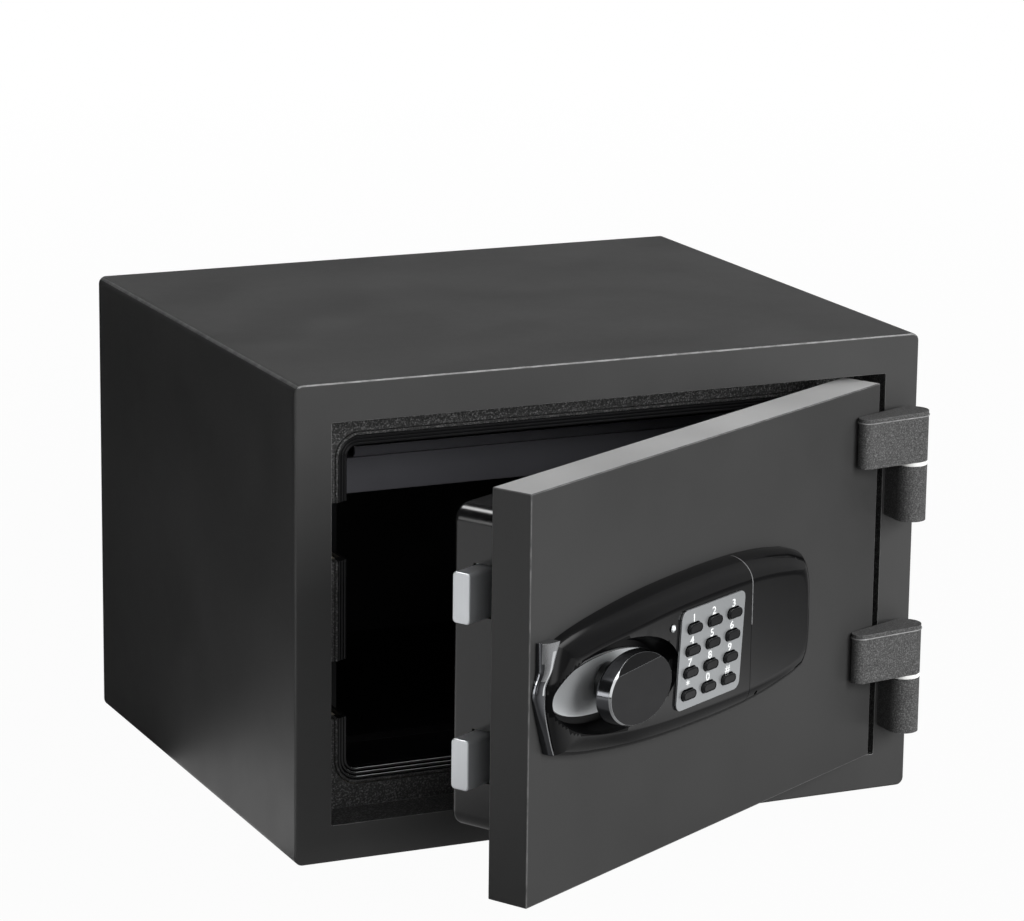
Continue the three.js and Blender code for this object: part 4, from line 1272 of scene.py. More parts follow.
@dataclass
class Lock(Assembly):
    """The lock housing on the door's face, with its cover, keypad, knob, inlay and grip."""

    floor: float = 2 * MM
    # How far the housing's underside stands off the door's paint
    base: float = 0.3 * MM
    shell: float = 2.2 * MM
    shoulder: float = 15 * MM
    shoulder_steps: int = 12
    free_height: float = 13 * MM
    taper_length: float = 89 * MM
    end_half: float = 33 * MM
    end_bow: float = 8 * MM
    end_steps: int = 12
    well_half_length: float = 56 * MM
    well_half_height: float = 27 * MM
    well_floor: float = 4 * MM
    well_shift: float = -1 * MM
    # How far the well's floor ends inside its half length and its half height
    well_narrowing: Tuple[float, float] = (4 * MM, 4.8 * MM)
    # Pairs of height above the well's floor and reach of its wall there
    well_wall: Levels = ((2 * MM, 1.2 * MM), (5 * MM, 3.0 * MM), (9 * MM, 4.3 * MM), (30 * MM, 6.2 * MM))
    seam_gap: float = 0.4 * MM
    seam_edge: float = 0.9 * MM
    screw_hole: float = 1.5 * MM
    screw_inset: float = 9 * MM
    outline_steps: int = 36
    plate_lean: float = 0.09
    plate_drop: float = 2 * MM
    plate_corner: float = 5 * MM
    key_gap: float = 0.2 * MM
    # How far a cap is drawn back from its node's box along the plate and upwards
    cap_inset: Tuple[float, float] = (0.35 * MM, 0.5 * MM)
    dish_rim: float = 0.5 * MM
    dish_depth: float = 0.35 * MM
    digit_size: float = 6.6 * MM
    digit_stretch: float = 1.3
    digit_rise: float = 0.5 * MM
    digit_boldness: float = 0.12 * MM
    ink: float = 0.06 * MM
    lens_rise: float = 1.6 * MM
    lens_share: float = 0.8
    bezel_bore: float = 0.78
    bezel_height: float = 0.6 * MM
    inlay_reach: float = 2.6 * MM
    knob_height: float = 11 * MM
    knob_flare: float = 1.1 * MM
    knob_sink: float = 0.9 * MM
    knob_trim: float = 1.5 * MM
    knob_lead_in: float = 2.4 * MM
    knob_chamfer: float = 1.3 * MM
    # Pairs of height and reach that round the knob's underside
    knob_foot: Levels = ((0.5 * MM, 1.3 * MM), (1.2 * MM, 2.0 * MM), (2.2 * MM, 2.4 * MM))
    stem_radius: float = 12 * MM
    facet_lean: float = 22.6
    # The direction in which the facet falls away, across the knob's face
    facet_way: Tuple[float, float, float] = (-0.07, 0, 0.9975)
    # Where the facet starts, as shares of the knob's half length and half height
    facet_start: Tuple[float, float] = (-0.05, 0.68)
    grip_gap: float = 0.6 * MM
    grip_half: float = 33.8 * MM
    grip_rise: float = 2.2 * MM
    grip_width: float = 6.4 * MM
    grip_crest: float = 4.9 * MM
    grip_waist: float = 0.06
    grip_least: float = 2 * MM
    brow_rise: float = 3.1 * MM
    brow_thinning: float = 3.6 * MM
    heel_rise: float = 1.5 * MM
    heel_thinning: float = 11.3 * MM
    # Turns of the grip's rounded side, in degrees from its wall to its crest
    grip_turns: Tuple[int, ...] = (0, 15, 32, 50, 68, 90)
    grip_steps: int = 40
    # Pairs of share of the housing's length and share of its half height
    sides: Levels = (
        (0.105, 0.79), (0.218, 0.885), (0.368, 0.965), (0.538, 1.0), (0.707, 0.995), (0.838, 0.94),
        (0.932, 0.855),
    )
    body: str = "door"

    def __post_init__(self) -> None:
        """Reads the places that the pieces share."""
        self.case_box = self.layout.shut_box("lock_housing")
        self.cover_box = self.layout.shut_box("battery_cover")
        self.keypad_box = self.layout.shut_box("keypad_plate")
        self.face = self.layout.shut_box("door_skin").low.y
        knob = self.layout.shut_box("knob")
        self.spindle = Vector((knob.centre.x, self.face, knob.centre.z))
        self.height = self.face - self.case_box.low.y
        self.left = self.case_box.low.x
        self.right = self.cover_box.high.x
        self.half = self.case_box.size.z / 2

    def build(self) -> None:
        """Builds and dresses every piece of the lock."""
        self.case()
        self.cover()
        self.keypad()
        self.lens()
        self.inlay()
        self.knob()
        self.grip()

    def half_height(self, share: float) -> float:
        """Half the housing's height at a share of its length, on a smooth curve through its sides.

        Args:
            share: 0 at the free end and 1 at the hinge end.

        Returns:
            The half height.
        """
        points = [(self.end_bow / (self.right - self.left), self.end_half / self.half), *self.sides]
        if share <= points[0][0]:
            return points[0][1] * self.half
        for i, ((x0, y0), (x1, y1)) in enumerate(zip(points, points[1:])):
            if share <= x1:
                before = points[i - 1] if i else (2 * x0 - x1, 2 * y0 - y1)
                after = points[i + 2] if i + 2 < len(points) else (2 * x1 - x0, 2 * y1 - y0)
                span = x1 - x0
                t = (share - x0) / span
                m0 = (y1 - before[1]) / (x1 - before[0]) * span
                m1 = (after[1] - y0) / (after[0] - x0) * span
                smooth = (
                    (2 * t**3 - 3 * t**2 + 1) * y0 + (t**3 - 2 * t**2 + t) * m0
                    + (-2 * t**3 + 3 * t**2) * y1 + (t**3 - t**2) * m1
                )
                return smooth * self.half
        return points[-1][1] * self.half

    def outline(self, height: float) -> List[Vector]:
        """The housing's outline on a plane in front of the door.

        Args:
            height: how far that plane stands off the door.

        Returns:
            Its points, anticlockwise as seen from the front.
        """
        length = self.right - self.left
        start, end = self.end_bow / length, self.sides[-1][0]
        corner = self.half_height(end)
        upper = []
        for i in range(self.end_steps):
            share = i / self.end_steps
            bulge = (1 - share**4) ** (1 / 2.4)
            upper.append((self.left + length * (end + (1 - end) * bulge), corner * share))
        for i in range(self.outline_steps + 1):
            share = end + (start - end) * i / self.outline_steps
            upper.append((self.left + length * share, self.half_height(share)))
        for i in range(1, self.end_steps):
            share = 1 - i / self.end_steps
            upper.append((self.left + self.end_bow * share**2, self.end_half * share))
        whole = upper + [(self.left, 0.0)] + [(x, -z) for x, z in reversed(upper[1:])]
        return [Vector((x, self.face - height, self.spindle.z + z)) for x, z in whole]

    def form(self, name: str, inset: float) -> Piece:
        """The whole housing form, or the same shape sunk by a wall's thickness.

        Args:
            name: the piece's name.
            inset: the wall's thickness, or 0 for the outside.

        Returns:
            The form.
        """
        base = self.floor if inset else self.base
        rise = self.height - inset - self.floor
        foot = self.floor - base
        levels = [(0.01 * MM, inset)] if inset else [(foot, 0.0)]
        for step in range(1, self.shoulder_steps + 1):
            angle = step / self.shoulder_steps * math.pi / 2
            levels.append((foot + rise * math.sin(angle), inset + self.shoulder * (1 - math.cos(angle))))
        levels += [(foot + rise, inset + share * self.shoulder) for share in (2, 2.7)]
        made = Piece.plate(name, self.outline(base)).stack(levels)
        low = self.free_height / self.height
        for corner in made.object.data.vertices:
            above = self.face - corner.co.y - self.floor
            if above > 0:
                along = smooth_step((corner.co.x - self.left) / self.taper_length)
                corner.co.y = self.face - self.floor - above * (low + (1 - low) * along)
        return made

    def oval(self, name: str, half_length: float, half_height: float, height: float, levels: Levels,
             shift: float = 0.0) -> Piece:
        """A solid on an oval round the spindle.

        Args:
            name: the piece's name.
            half_length: half the oval's length.
            half_height: half its height.
            height: its underside's height above the door's face.
            levels: pairs of height above the underside and inset.
            shift: how far its middle lies from the spindle.

        Returns:
            The piece.
        """
        steps = 96
        points = []
        for i in range(steps):
            angle = 2 * math.pi * i / steps
            across = self.spindle.x + shift + half_length * math.cos(angle)
            upwards = self.spindle.z + half_height * math.sin(angle)
            points.append(Vector((across, self.face - height, upwards)))
        return Piece.plate(name, points).stack(levels)

    def leaned(self, piece: Piece) -> Piece:
        """Slants a piece as the keypad plate slants, about the plate's middle."""
        for corner in piece.object.data.vertices:
            corner.co.x += (corner.co.z - self.keypad_box.centre.z) * self.plate_lean
        return piece

    def case(self) -> None:
        """The long housing up to the seam, with an oval well round the knob and a floor past the seam."""
        seam = Vector((self.cover_box.low.x - self.seam_gap, 0, 0))
        made = self.form("lock_case", 0.0).keep_side(seam, Side.LEFT.vector)
        shorter, lower = self.well_narrowing
        wall = [(height, -reach) for height, reach in self.well_wall]
        made.cut(self.oval(
            "well", self.well_half_length - shorter, self.well_half_height - lower, self.well_floor, wall,
            self.well_shift,
        ))
        plate = self.keypad_box
        works = plate.grown(-6 * MM, 0, -3 * MM).between(Side.BACK, plate.low.y - 5 * MM, self.face - 7 * MM)
        made.cut(self.leaned(Piece.block("works", works)))
        made.soften(0.6 * MM, 3, 32).smooth(30)
        floor = Piece.plate("floor", self.outline(self.base)).stack([(self.floor - self.base, 0.0)])
        made.gather(floor.keep_side(seam, Side.RIGHT.vector))
        wide, tall = self.well_half_length + 1 * MM, self.well_half_height + 0.4 * MM
        # Painted shade: the faces inside the well take the darkened black
        made.dress(self.finishes.gloss, self.finishes.well_painted_shade, lambda middle, normal: (
            ((middle.x - self.spindle.x - self.well_shift) / wide) ** 2
            + ((middle.z - self.spindle.z) / tall) ** 2 < 1
        )).place(self.layout.swing)
        made.hand_in(self.body, "gloss_black", self.finishes.gloss, "lock_housing")

    def cover(self) -> None:
        """The battery cover on the hinge side of the seam, with a painted highlight along the seam's upper
        half.
        """
        seam = Vector((self.cover_box.low.x, 0, 0))
        made = self.form("cell_cover", 0.0).keep_side(seam, Side.RIGHT.vector)
        made.keep_side(Vector((0, self.cover_box.high.y, 0)), Side.FRONT.vector)
        made.cut(self.form("hollow", self.shell))
        hole = Vector((seam.x + self.screw_inset, self.face, self.spindle.z - self.half * 0.8))
        made.cut(Piece.rod("hole", hole, self.screw_hole, 60 * MM, Side.FRONT, 32))
        made.soften(0.8 * MM, 3, 32)
        made.score(seam + Side.RIGHT.vector * self.seam_edge, Side.RIGHT.vector).smooth(30)
        # Painted highlight: the up- and front-facing seam faces above the spindle take the pale finish
        made.dress(self.finishes.gloss, self.finishes.seam_painted_highlight, lambda middle, normal: (
            middle.x < seam.x + self.seam_edge and normal.x > -0.9 and middle.z > self.spindle.z
            and normal.z - normal.y > 0.3
        )).place(self.layout.swing)
        made.hand_in("cover_body", "gloss_black", self.finishes.gloss, "battery_cover")

    def keypad(self) -> None:
        """The slanted silver plate, its twelve keys and the printed digits over them."""
        space = self.keypad_box
        names = ["1", "2", "3", "4", "5", "6", "7", "8", "9", "star", "0", "hash"]
        signs = {"star": "*", "hash": "#"}
        places = [self.layout.shut_box(f"key_{name}") for name in names]
        lean = self.plate_lean * space.size.z
        sheet = space.grown(-lean / 2, 0, 0).between(Side.UP, space.low.z - self.plate_drop, space.high.z)
        made = self.leaned(Piece.block("number_plate", sheet).round_along(Side.FRONT, self.plate_corner))
        for place in places:
            hole = place.grown(self.key_gap, 3 * MM, self.key_gap)
            corner = hole.size.z / 2 - 0.01 * MM
            made.cut(Piece.block("hole", hole).round_along(Side.FRONT, corner, 6))
        made.soften(0.7 * MM).smooth()
        made.dress(self.finishes.silver, self.finishes.bright_chrome, on_rounding).place(self.layout.swing)
        made.hand_in(self.body, "satin_silver", self.finishes.silver, "keypad_plate")
        inset = self.cap_inset
        caps = [self.key_cap("cap_1", places[0].grown(-inset[0], 0, -inset[1]))]
        printed = self.digit(names[0], places[0])
        others = list(zip(names, places))[1:]
        caps += [caps[0].copy(f"cap_{name}", place.centre - places[0].centre) for name, place in others]
        for name, cap in zip(names, caps):
            cap.place(self.layout.swing)
            cap.hand_in(f"key_{name}_body", "key_rubber", self.finishes.key_rubber, f"key_{name}")
        printed.gather(*(self.digit(signs.get(name, name), place) for name, place in others))
        printed.object.name = "printed_digits"
        printed.place(self.layout.swing)
        printed.hand_in(self.body, "satin_silver", self.finishes.print_white)

    def key_cap(self, name: str, place: Extent) -> Piece:
        """A rubber key: a pill with a rounded rim and a dished top.

        Args:
            name: the piece's name.
            place: the space that it fills.

        Returns:
            The key.
        """
        made = Piece.block(name, place).round_along(Side.FRONT, place.size.z / 2 - 0.01 * MM, 8)
        made.round_rim(Side.FRONT, 0.8 * MM, 4)
        made.pick("FACE", lambda middle, normal: normal.y < -0.9)
        bpy.ops.mesh.inset(thickness=self.dish_rim)
        bpy.ops.transform.translate(value=(0, self.dish_depth, 0))
        return made.done().smooth()

    def digit(self, text: str, place: Extent) -> Piece:
        """A digit printed over a key.

        Args:
            text: the digit.
            place: the key's place.

        Returns:
            The digit as a mesh.
        """
        Piece.deselect_all()
        front = self.keypad_box.low.y + 0.02 * MM
        spot = Vector((place.centre.x, front, place.high.z + self.digit_rise))
        bpy.ops.object.text_add(location=spot, rotation=(math.pi / 2, 0, 0))
        made = bpy.context.object
        made.data.body = text
        made.data.size = self.digit_size
        made.data.align_x = "CENTER"
        made.data.extrude = self.ink
        made.data.offset = self.digit_boldness
        made.data.resolution_u = 3
        made.scale.x = self.digit_stretch
        bpy.ops.object.convert(target="MESH")
        return Piece.applied(f"digit_{text}")

    def lens(self) -> None:
        """The status lens: a clear dome in a thin bright bezel."""
        space = self.layout.shut_box("status_lens")
        centre = Vector((space.centre.x, space.low.y, space.centre.z))
        radius = space.size.x / 2
        top = centre + Side.BACK.vector * self.lens_rise
        Piece.deselect_all()
        bpy.ops.mesh.primitive_uv_sphere_add(
            segments=32, ring_count=16, radius=radius * self.lens_share, location=(0, 0, 0)
        )
        bpy.context.object.scale = (1, self.lens_rise / (radius * self.lens_share), 1)
        bpy.context.object.location = top
        made = Piece.applied("lamp_lens").keep_side(top, Side.FRONT.vector).smooth(60)
        middle = top + Side.FRONT.vector * self.bezel_height / 2
        rim = Piece.rod("bezel", middle, radius, self.bezel_height, Side.FRONT, 40)
        bore = Piece.rod("bore", centre, radius * self.bezel_bore, 6 * MM, Side.FRONT, 40)
        rim.cut(bore).soften(0.15 * MM, 2).smooth().paint(self.finishes.bright_chrome)
        made.paint(self.finishes.lens).gather(rim).place(self.layout.swing)
        made.hand_in(self.body, "lens_clear", self.finishes.lens, "status_lens")

    def inlay(self) -> None:
        """The satin oval at the bottom of the well."""
        space = self.layout.shut_box("oval_inlay")
        made = self.oval(
            "well_inlay", space.size.x / 2 + self.inlay_reach, space.size.z / 2, self.face - space.high.y,
            [(space.size.y - 0.5 * MM, 0.0), (space.size.y, 0.7 * MM)], self.well_shift,
        )
        # Painted light: the oval takes a lighter copy of the plate's silver
        made.smooth().dress(self.finishes.oval_silver_painted_light, self.finishes.bright_chrome, lambda middle, normal: (
            -0.95 < normal.y < -0.2
        )).place(self.layout.swing)
        made.hand_in(self.body, "satin_silver", self.finishes.oval_silver_painted_light, "oval_inlay")

    def knob(self) -> None:
        """The oval knob: a dark satin cap with a slanted facet, on a chrome wall darkened as painted shade,
        and a round stem.
        """
        space = self.layout.shut_box("knob")
        front = self.face - space.low.y - self.knob_sink
        under = front - self.knob_height
        wide, tall = space.size.x / 2, space.size.z / 2 - self.knob_trim
        lead_in, chamfer = self.knob_lead_in, self.knob_chamfer
        levels = [(height, -reach - self.knob_flare) for height, reach in self.knob_foot]
        levels += [(self.knob_height - chamfer, -lead_in), (self.knob_height, 0.6 * chamfer - lead_in)]
        made = self.oval("turn_knob", wide - lead_in, tall - lead_in, under, levels)
        lean = math.radians(self.facet_lean)
        way = Vector(self.facet_way) * math.sin(lean) + Side.FRONT.vector * math.cos(lean)
        across, upwards = self.facet_start
        chord = Vector((self.spindle.x + across * wide, self.face - front, self.spindle.z + upwards * tall))
        made.keep_side(chord, -way).soften(0.35 * MM, 2, 20)
        stem_top = under + 1 * MM
        stem_foot = self.face - self.layout.shut_box("oval_inlay").low.y + 0.6 * MM
        middle = Vector((self.spindle.x, self.face - (stem_top + stem_foot) / 2, self.spindle.z))
        stem = Piece.rod("stem", middle, self.stem_radius, stem_top - stem_foot, Side.FRONT)
        made.gather(stem).smooth(30)
        made.dress(self.finishes.bright_chrome, self.finishes.knob_cap, lambda middle, normal: (
            self.face - middle.y > front - 0.1 * MM and normal.y < -0.995
        ))
        # Painted shade: the wall below the chamfer takes the darkened chrome
        made.dress(self.finishes.bright_chrome, self.finishes.chrome_painted_dark, lambda middle, normal: (
            normal.y > -0.25 and self.face - middle.y < front - 0.8 * chamfer
        ))
        made.dress(self.finishes.bright_chrome, self.finishes.gloss, lambda middle, normal: (
            self.face - middle.y < under + 0.1 * MM or normal.dot(way) > 0.999
        )).place(self.layout.swing)
        made.hand_in("knob_body", "gloss_black", self.finishes.gloss, "knob")

    def grip_inner(self, z: float) -> float:
        """The grip's concave side, which follows the housing's free end."""
        return self.left - self.grip_gap + self.end_bow * ((z - self.spindle.z) / self.end_half) ** 2

    def grip_share(self, z: float) -> float:
        """A height as a share of the grip's half length, from -1 at its heel to 1 at its brow."""
        return (z - self.spindle.z - self.grip_rise) / self.grip_half

    def grip_outer(self, z: float) -> float:
        """The grip's outer side: widest at its waist and thinner towards both ends.

        Args:
            z: the height.

        Returns:
            Its place across.
        """
        share, waist = self.grip_share(z), self.grip_waist
        if share > waist:
            back = self.brow_thinning * smooth_step((share - waist) / 0.5)
        else:
            back = self.heel_thinning * ((waist - share) / (1 + waist)) ** 1.1
        outer = self.left - self.grip_gap - self.grip_width + back
        return min(outer, self.grip_inner(z) - self.grip_least)

    def grip_section(self, z: float) -> Levels:
        """The levels of the grip's outer side: a wall that rounds over towards a narrow crest.

        Args:
            z: the height.

        Returns:
            For each level its height and its greatest distance from the inner side.
        """
        share = self.grip_share(z)
        brow, heel = smooth_step((share - 0.2) / 0.36), smooth_step(-share / 0.7)
        crest = self.grip_crest + self.brow_rise * brow + self.heel_rise * heel
        width = self.grip_inner(z) - self.grip_outer(z)
        levels = [(0.0, width)]
        for angle in (math.radians(turn) for turn in self.grip_turns):
            levels.append((crest * (0.35 + 0.65 * math.sin(angle)), max(1 * MM, width * math.cos(angle))))
        return levels

    def grip(self) -> None:
        """The chrome crescent round the housing's free end, raised to a brow at its upper end."""
        foot = self.layout.shut_box("pull_grip").high.y
        step = 1 * MM
        middle = self.spindle.z + self.grip_rise
        shares = [2 * i / self.grip_steps - 1 for i in range(self.grip_steps + 1)]
        heights = [middle + self.grip_half * share for share in shares]
        inner = [Vector((self.grip_inner(z), foot, z)) for z in heights]
        outer = [Vector((self.grip_outer(z), foot, z)) for z in reversed(heights)]
        made = Piece.plate("crescent_grip", inner + outer)
        made.pick("FACE", lambda middle, normal: True)
        for _ in self.grip_turns:
            bpy.ops.mesh.extrude_region_move(TRANSFORM_OT_translate={"value": (0, -step, 0)})
        made.done()
        for corner in made.object.data.vertices:
            height, reach = self.grip_section(corner.co.z)[round((foot - corner.co.y) / step)]
            edge = self.grip_inner(corner.co.z)
            corner.co.y = foot - height
            if corner.co.x < edge - 0.5 * MM:
                corner.co.x = max(corner.co.x, edge - reach)
        made.face_out().soften(0.5 * MM).smooth(60)
        brow, waist = middle + 0.35 * self.grip_half, middle + 0.1 * self.grip_half
        # Painted light and shade: the upper panel takes the lighter satin chrome and the wall the darkened
        # chrome; the up-facing faces and upper inner edge take bright chrome as a painted highlight
        made.dress(self.finishes.chrome_painted_dark, self.finishes.grip_chrome_painted_light, lambda spot, normal: (
            spot.z > brow and normal.x < 0 and normal.y < -0.5
        ))
        made.dress(self.finishes.chrome_painted_dark, self.finishes.bright_chrome, lambda spot, normal: (
            normal.z > 0.3
            or normal.y < -0.3 and spot.z > waist and spot.x > self.grip_inner(spot.z) - 2.3 * MM
        ))
        made.dress(self.finishes.chrome_painted_dark, self.finishes.grip_chrome_painted_light, lambda spot, normal: (
            normal.y < -0.8 and spot.z < waist and spot.x > self.grip_inner(spot.z) - 1.1 * MM
        )).place(self.layout.swing)
        made.hand_in(self.body, "bright_chrome", self.finishes.grip_chrome_painted_light, "pull_grip")


class InnerWorks:
    """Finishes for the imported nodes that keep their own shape."""

    def __init__(self, finishes: Finishes) -> None:
        """Lists which finish each node takes.

        Args:
            finishes: the safe's finishes.
        """
        self.choices = {
            finishes.fill: ("body_insulation", "door_insulation", "plug_insulation"),
            finishes.body: ("door_back_plate",),
            finishes.zinc: (
                "bolt_keeper_upper", "bolt_keeper_lower", "drawer_runner_left", "drawer_runner_right",
                "hinge_pin_upper", "hinge_pin_lower", "bolt_carriage", "cam", "solenoid", "spindle",
            ),
            finishes.satin_chrome: ("solenoid_plunger",),
            finishes.rubber: ("door_seal", "key_mat"),
            finishes.nylon: ("bolt_guide_upper", "bolt_guide_lower"),
            finishes.liner: ("battery_tray",),
            finishes.cell: tuple(f"battery_cell_{i}" for i in range(1, 5)),
            finishes.board: ("circuit_board",),
        }

    def dress(self, nodes: dict) -> None:
        """Gives each node its finish.

        Args:
            nodes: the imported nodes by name.
        """
        for finish, names in self.choices.items():
            for name in names:
                materials = nodes[name].data.materials
                materials.clear()
                materials.append(finish.material())
                log.info("%s: %s", name, finish.name)


@dataclass(frozen=True)
class Softbox:
    """A soft square lamp that reflections don't show."""

    name: str
    place: Tuple[float, float, float]
    size: float
    power: float

    def hang(self, target: Vector) -> None:
        """Adds the lamp to the scene.

        Args:
            target: what it looks at.
        """
        data = bpy.data.lights.new(self.name, "AREA")
        data.size = self.size
        data.energy = self.power
        made = bpy.data.objects.new(self.name, data)
        made.location = self.place
        made.rotation_euler = (target - Vector(self.place)).to_track_quat("-Z", "Y").to_euler()
        made.visible_glossy = False
        bpy.context.scene.collection.objects.link(made)


@dataclass
class Studio:
    """The camera at the photograph's angle, a pale floor and soft light.

    Cards are pairs of direction, as a share of the turn round the object, and brightness.
    """

    azimuth: float = -24.4805
    elevation: float = 13.6863
    roll: float = 0.6841
    aim: Tuple[float, float] = (-13.0955 * MM, -189.289 * MM)
    distance: float = 2712.632 * MM
    focal: float = 4053.55
    image_width: int = 1024
    sensor: float = 36.0
    clip_end: float = 200.0
    floor_size: float = 60.0
    floor_drop: float = 0.2 * MM
    floor_colour: str = "#8c8c8c"
    floor_glow: float = 0.97
    floor_near: Tuple[float, float] = (0.7, 3.0)
    ambient: float = 0.06
    floor_cards: Levels = (
        (0.0, 1.0), (0.09, 1.0), (0.105, 0.45), (0.16, 0.3), (0.2, 0.2), (0.26, 0.6), (0.29, 0.95),
        (0.34, 1.3), (0.38, 1.1), (0.42, 0.5), (0.46, 0.22), (0.5, 0.35), (0.57, 1.0), (0.63, 0.9),
        (0.69, 0.3), (0.78, 0.05), (0.88, 0.04), (0.955, 0.05), (0.97, 0.95),
    )
    wall_cards: Levels = (
        (0.0, 0.06), (0.1, 0.05), (0.14, 0.5), (0.17, 1.0), (0.22, 1.0), (0.26, 0.2), (0.35, 0.1),
        (0.45, 0.2), (0.52, 0.3), (0.58, 0.2), (0.66, 0.06), (0.75, 0.05), (0.86, 0.05), (0.94, 0.06),
        (0.975, 0.06),
    )
    overhead: float = 2.2
    overhead_edge: Tuple[float, float] = (0.8, 0.88)
    strip: float = 12.0
    strip_way: Tuple[float, float, float] = (-0.29, 0.5, 0.815)
    strip_edge: Tuple[float, float] = (0.12, 0.18)
    window: float = 5.0
    window_way: Tuple[float, float, float] = (-0.985, -0.06, 0.1)
    window_edge: Tuple[float, float] = (0.17, 0.22)
    fade_centre: Tuple[float, float, float] = (-0.7, -0.3, 0)
    fade: Tuple[float, float] = (0.75, 1.8)
    fade_level: float = 0.3
    shade_centre: Tuple[float, float, float] = (0.15, -0.28, 0)
    shade: Tuple[float, float] = (0.12, 0.24)
    shade_level: float = 0.2
    lamp_target: Tuple[float, float, float] = (0, 0, 0.15)
    # A large key in front on the right, a weak fill on the left, and lights at the side and behind
    lamps: Tuple[Softbox, ...] = (
        Softbox("front_softbox", (1.5, -2.6, 1.1), 1.8, 98),
        Softbox("left_softbox", (-0.5, -2.7, 0.9), 1.2, 17),
        Softbox("side_softbox", (1.3, -0.1, 0.95), 0.8, 9),
        Softbox("back_softbox", (0.6, 2.4, 1.9), 1.4, 15),
    )

    def build(self) -> None:
        """Sets up camera, floor, lamps and world."""
        self.camera()
        self.floor()
        for lamp in self.lamps:
            lamp.hang(Vector(self.lamp_target))
        self.world()
        bpy.context.scene.view_settings.view_transform = "Standard"

    def camera(self) -> None:
        """Places the camera from its azimuth, elevation, roll and distance."""
        az, el, roll = (math.radians(v) for v in (self.azimuth, self.elevation, self.roll))
        back = Vector((math.sin(az) * math.cos(el), -math.cos(az) * math.cos(el), math.sin(el)))
        right = Vector((math.cos(az), math.sin(az), 0))
        up = back.cross(right)
        across = right * math.cos(roll) + up * math.sin(roll)
        above = up * math.cos(roll) - right * math.sin(roll)
        data = bpy.data.cameras.new("photo_camera")
        data.sensor_width = self.sensor
        data.lens = self.focal * self.sensor / self.image_width
        data.clip_end = self.clip_end
        made = bpy.data.objects.new("photo_camera", data)
        matrix = Matrix((across, above, back)).transposed().to_4x4()
        matrix.translation = -across * self.aim[0] - above * self.aim[1] + back * self.distance
        made.matrix_world = matrix
        bpy.context.scene.collection.objects.link(made)
        bpy.context.scene.camera = made

    def surround(self, tree: Tree, place: Socket, cards: Levels) -> Socket:
        """How bright the studio is in each direction round the object.

        Args:
            tree: the node tree.
            place: coordinates round the object, or a direction.
            cards: the cards.

        Returns:
            The brightness.
        """
        turn = add_node(tree, "ShaderNodeTexGradient", {"gradient_type": "RADIAL", "Vector": place})
        made = add_node(tree, "ShaderNodeValToRGB", {"Fac": turn.outputs["Fac"]})
        stops = made.color_ramp.elements
        stops.remove(stops[-1])
        for order, (position, level) in enumerate(cards):
            stop = stops.new(position) if order else stops[0]
            stop.position = position
            stop.color = (level, level, level, 1)
        return made.outputs["Color"]

    def nearness(self, tree: Tree, place: Socket, spot: Sequence[float],
                 edge: Tuple[float, float], levels: Tuple[float, float]) -> Socket:
        """A level that changes with the distance from a spot.

        Args:
            tree: the node tree.
            place: the coordinates.
            spot: the spot.
            edge: the distances between which the level changes.
            levels: the level near the spot and the level away from it.

        Returns:
            The level.
        """
        away = add_node(tree, "ShaderNodeVectorMath", {"operation": "DISTANCE", 0: place, 1: spot})
        return add_node(tree, "ShaderNodeMapRange", {
            "From Min": edge[0], "From Max": edge[1], "To Min": levels[0], "To Max": levels[1],
            "Value": away.outputs["Value"],
        }).outputs["Result"]

    def faded(self, tree: Tree, place: Socket) -> Socket:
        """How bright the floor is in reflections: it falls off away from the lit middle and under the door.

        Args:
            tree: the node tree.
            place: coordinates on the floor.

        Returns:
            The brightness.
        """
        lit = self.nearness(tree, place, self.fade_centre, self.fade, (1.0, self.fade_level))
        clear = self.nearness(tree, place, self.shade_centre, self.shade, (self.shade_level, 1.0))
        level = add_node(tree, "ShaderNodeMath", {"operation": "MULTIPLY", 0: lit, 1: clear})
        return add_node(tree, "ShaderNodeVectorMath", {
            "operation": "SCALE", 0: self.surround(tree, place, self.floor_cards),
            "Scale": level.outputs["Value"],
        }).outputs["Vector"]

    def floor(self) -> None:
        """A wide pale floor that looks white and keeps a faint shadow."""
        Piece.deselect_all()
        bpy.ops.mesh.primitive_plane_add(size=self.floor_size, location=(0, 0, -self.floor_drop))
        floor = bpy.context.object
        floor.name = "pale_floor"
        made = bpy.data.materials.new("pale floor")
        made.use_nodes = True
        tree = made.node_tree
        shader = next(n for n in tree.nodes if n.type == "BSDF_PRINCIPLED")
        shader.inputs["Base Color"].default_value = linear(self.floor_colour)
        shader.inputs["Roughness"].default_value = 0.9
        shader.inputs["Specular IOR Level"].default_value = 0.1
        place = add_node(tree, "ShaderNodeTexCoord", {}).outputs["Object"]
        rays = add_node(tree, "ShaderNodeLightPath", {}).outputs
        colour = add_node(tree, "ShaderNodeMix", {
            "data_type": "RGBA", 0: rays["Is Camera Ray"], 6: self.faded(tree, place), 7: WHITE,
        })
        glow = add_node(tree, "ShaderNodeEmission", {"Strength": 1.0, "Color": colour.outputs[2]})
        near = self.nearness(tree, place, (0, 0, 0), self.floor_near, (self.floor_glow, 1.0))
        share = rays["Is Camera Ray"]
        for operation, other in (
            ("MAXIMUM", rays["Is Glossy Ray"]), ("MAXIMUM", rays["Is Transmission Ray"]), ("MULTIPLY", near)
        ):
            share = add_node(tree, "ShaderNodeMath", {"operation": operation, 0: share, 1: other}).outputs[0]
        mix = add_node(tree, "ShaderNodeMixShader", {0: share, 1: shader.outputs[0], 2: glow.outputs[0]})
        out = next(n for n in tree.nodes if n.type == "OUTPUT_MATERIAL")
        tree.links.new(mix.outputs[0], out.inputs["Surface"])
        floor.data.materials.append(made)

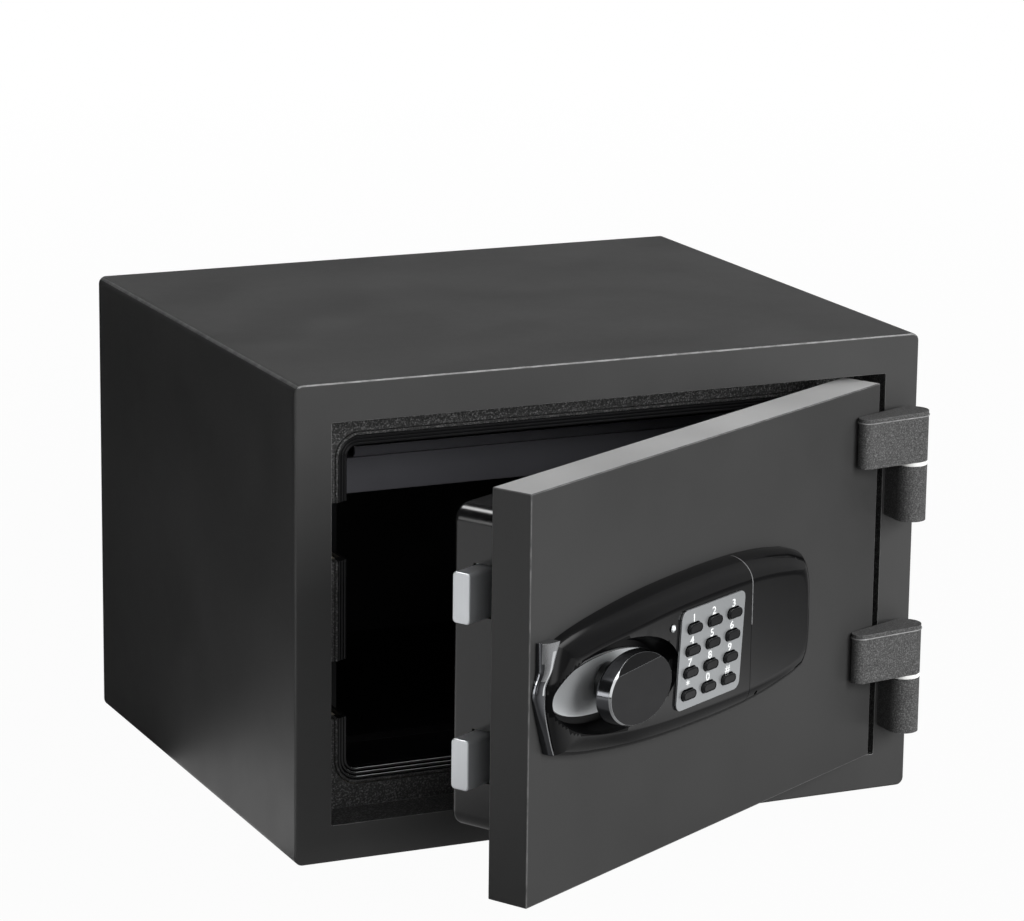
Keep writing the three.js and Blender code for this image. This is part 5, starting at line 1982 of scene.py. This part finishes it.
    def world(self) -> None:
        """A white surround for the camera, the studio's cards for reflections, and dim plain light."""
        world = bpy.data.worlds.new("studio")
        bpy.context.scene.world = world
        world.use_nodes = True
        tree = world.node_tree
        back = next(n for n in tree.nodes if n.type == "BACKGROUND")
        rays = add_node(tree, "ShaderNodeLightPath", {}).outputs
        place = add_node(tree, "ShaderNodeTexCoord", {}).outputs["Generated"]
        height = add_node(tree, "ShaderNodeSeparateXYZ", {"Vector": place}).outputs["Z"]
        above = add_node(tree, "ShaderNodeMapRange", {
            "From Min": self.overhead_edge[0], "From Max": self.overhead_edge[1],
            "To Max": self.overhead, "Value": height,
        }).outputs["Result"]
        for way, edge, level in (
            (self.strip_way, self.strip_edge, self.strip), (self.window_way, self.window_edge, self.window)
        ):
            card = self.nearness(tree, place, way, edge, (level, 0.0))
            above = add_node(tree, "ShaderNodeMath", {"operation": "MAXIMUM", 0: above, 1: card}).outputs[0]
        brightest = add_node(tree, "ShaderNodeVectorMath", {
            "operation": "MAXIMUM", 0: self.surround(tree, place, self.wall_cards), 1: above,
        })
        plain = add_node(tree, "ShaderNodeMix", {
            "data_type": "RGBA", 0: rays["Is Glossy Ray"], 6: (self.ambient, self.ambient, self.ambient, 1),
            7: brightest.outputs["Vector"],
        })
        seen = add_node(tree, "ShaderNodeMath", {
            "operation": "MAXIMUM", 0: rays["Is Camera Ray"], 1: rays["Is Transmission Ray"],
        })
        white = add_node(tree, "ShaderNodeMix", {
            "data_type": "RGBA", 0: seen.outputs["Value"], 6: plain.outputs[2], 7: WHITE,
        })
        tree.links.new(white.outputs[2], back.inputs["Color"])


def main() -> None:
    """Builds the safe around the frame, then the studio."""
    logging.basicConfig(level=logging.INFO, format="%(message)s")
    layout = Layout(frame["joints"], frame["nodes"])
    finishes = Finishes(layout)
    Studio().build()
    InnerWorks(finishes).dress(frame["nodes"])
    Cabinet(layout, finishes).build()
    Door(layout, finishes).build()
    Lock(layout, finishes).build()


if __name__ == "__main__":
    main()
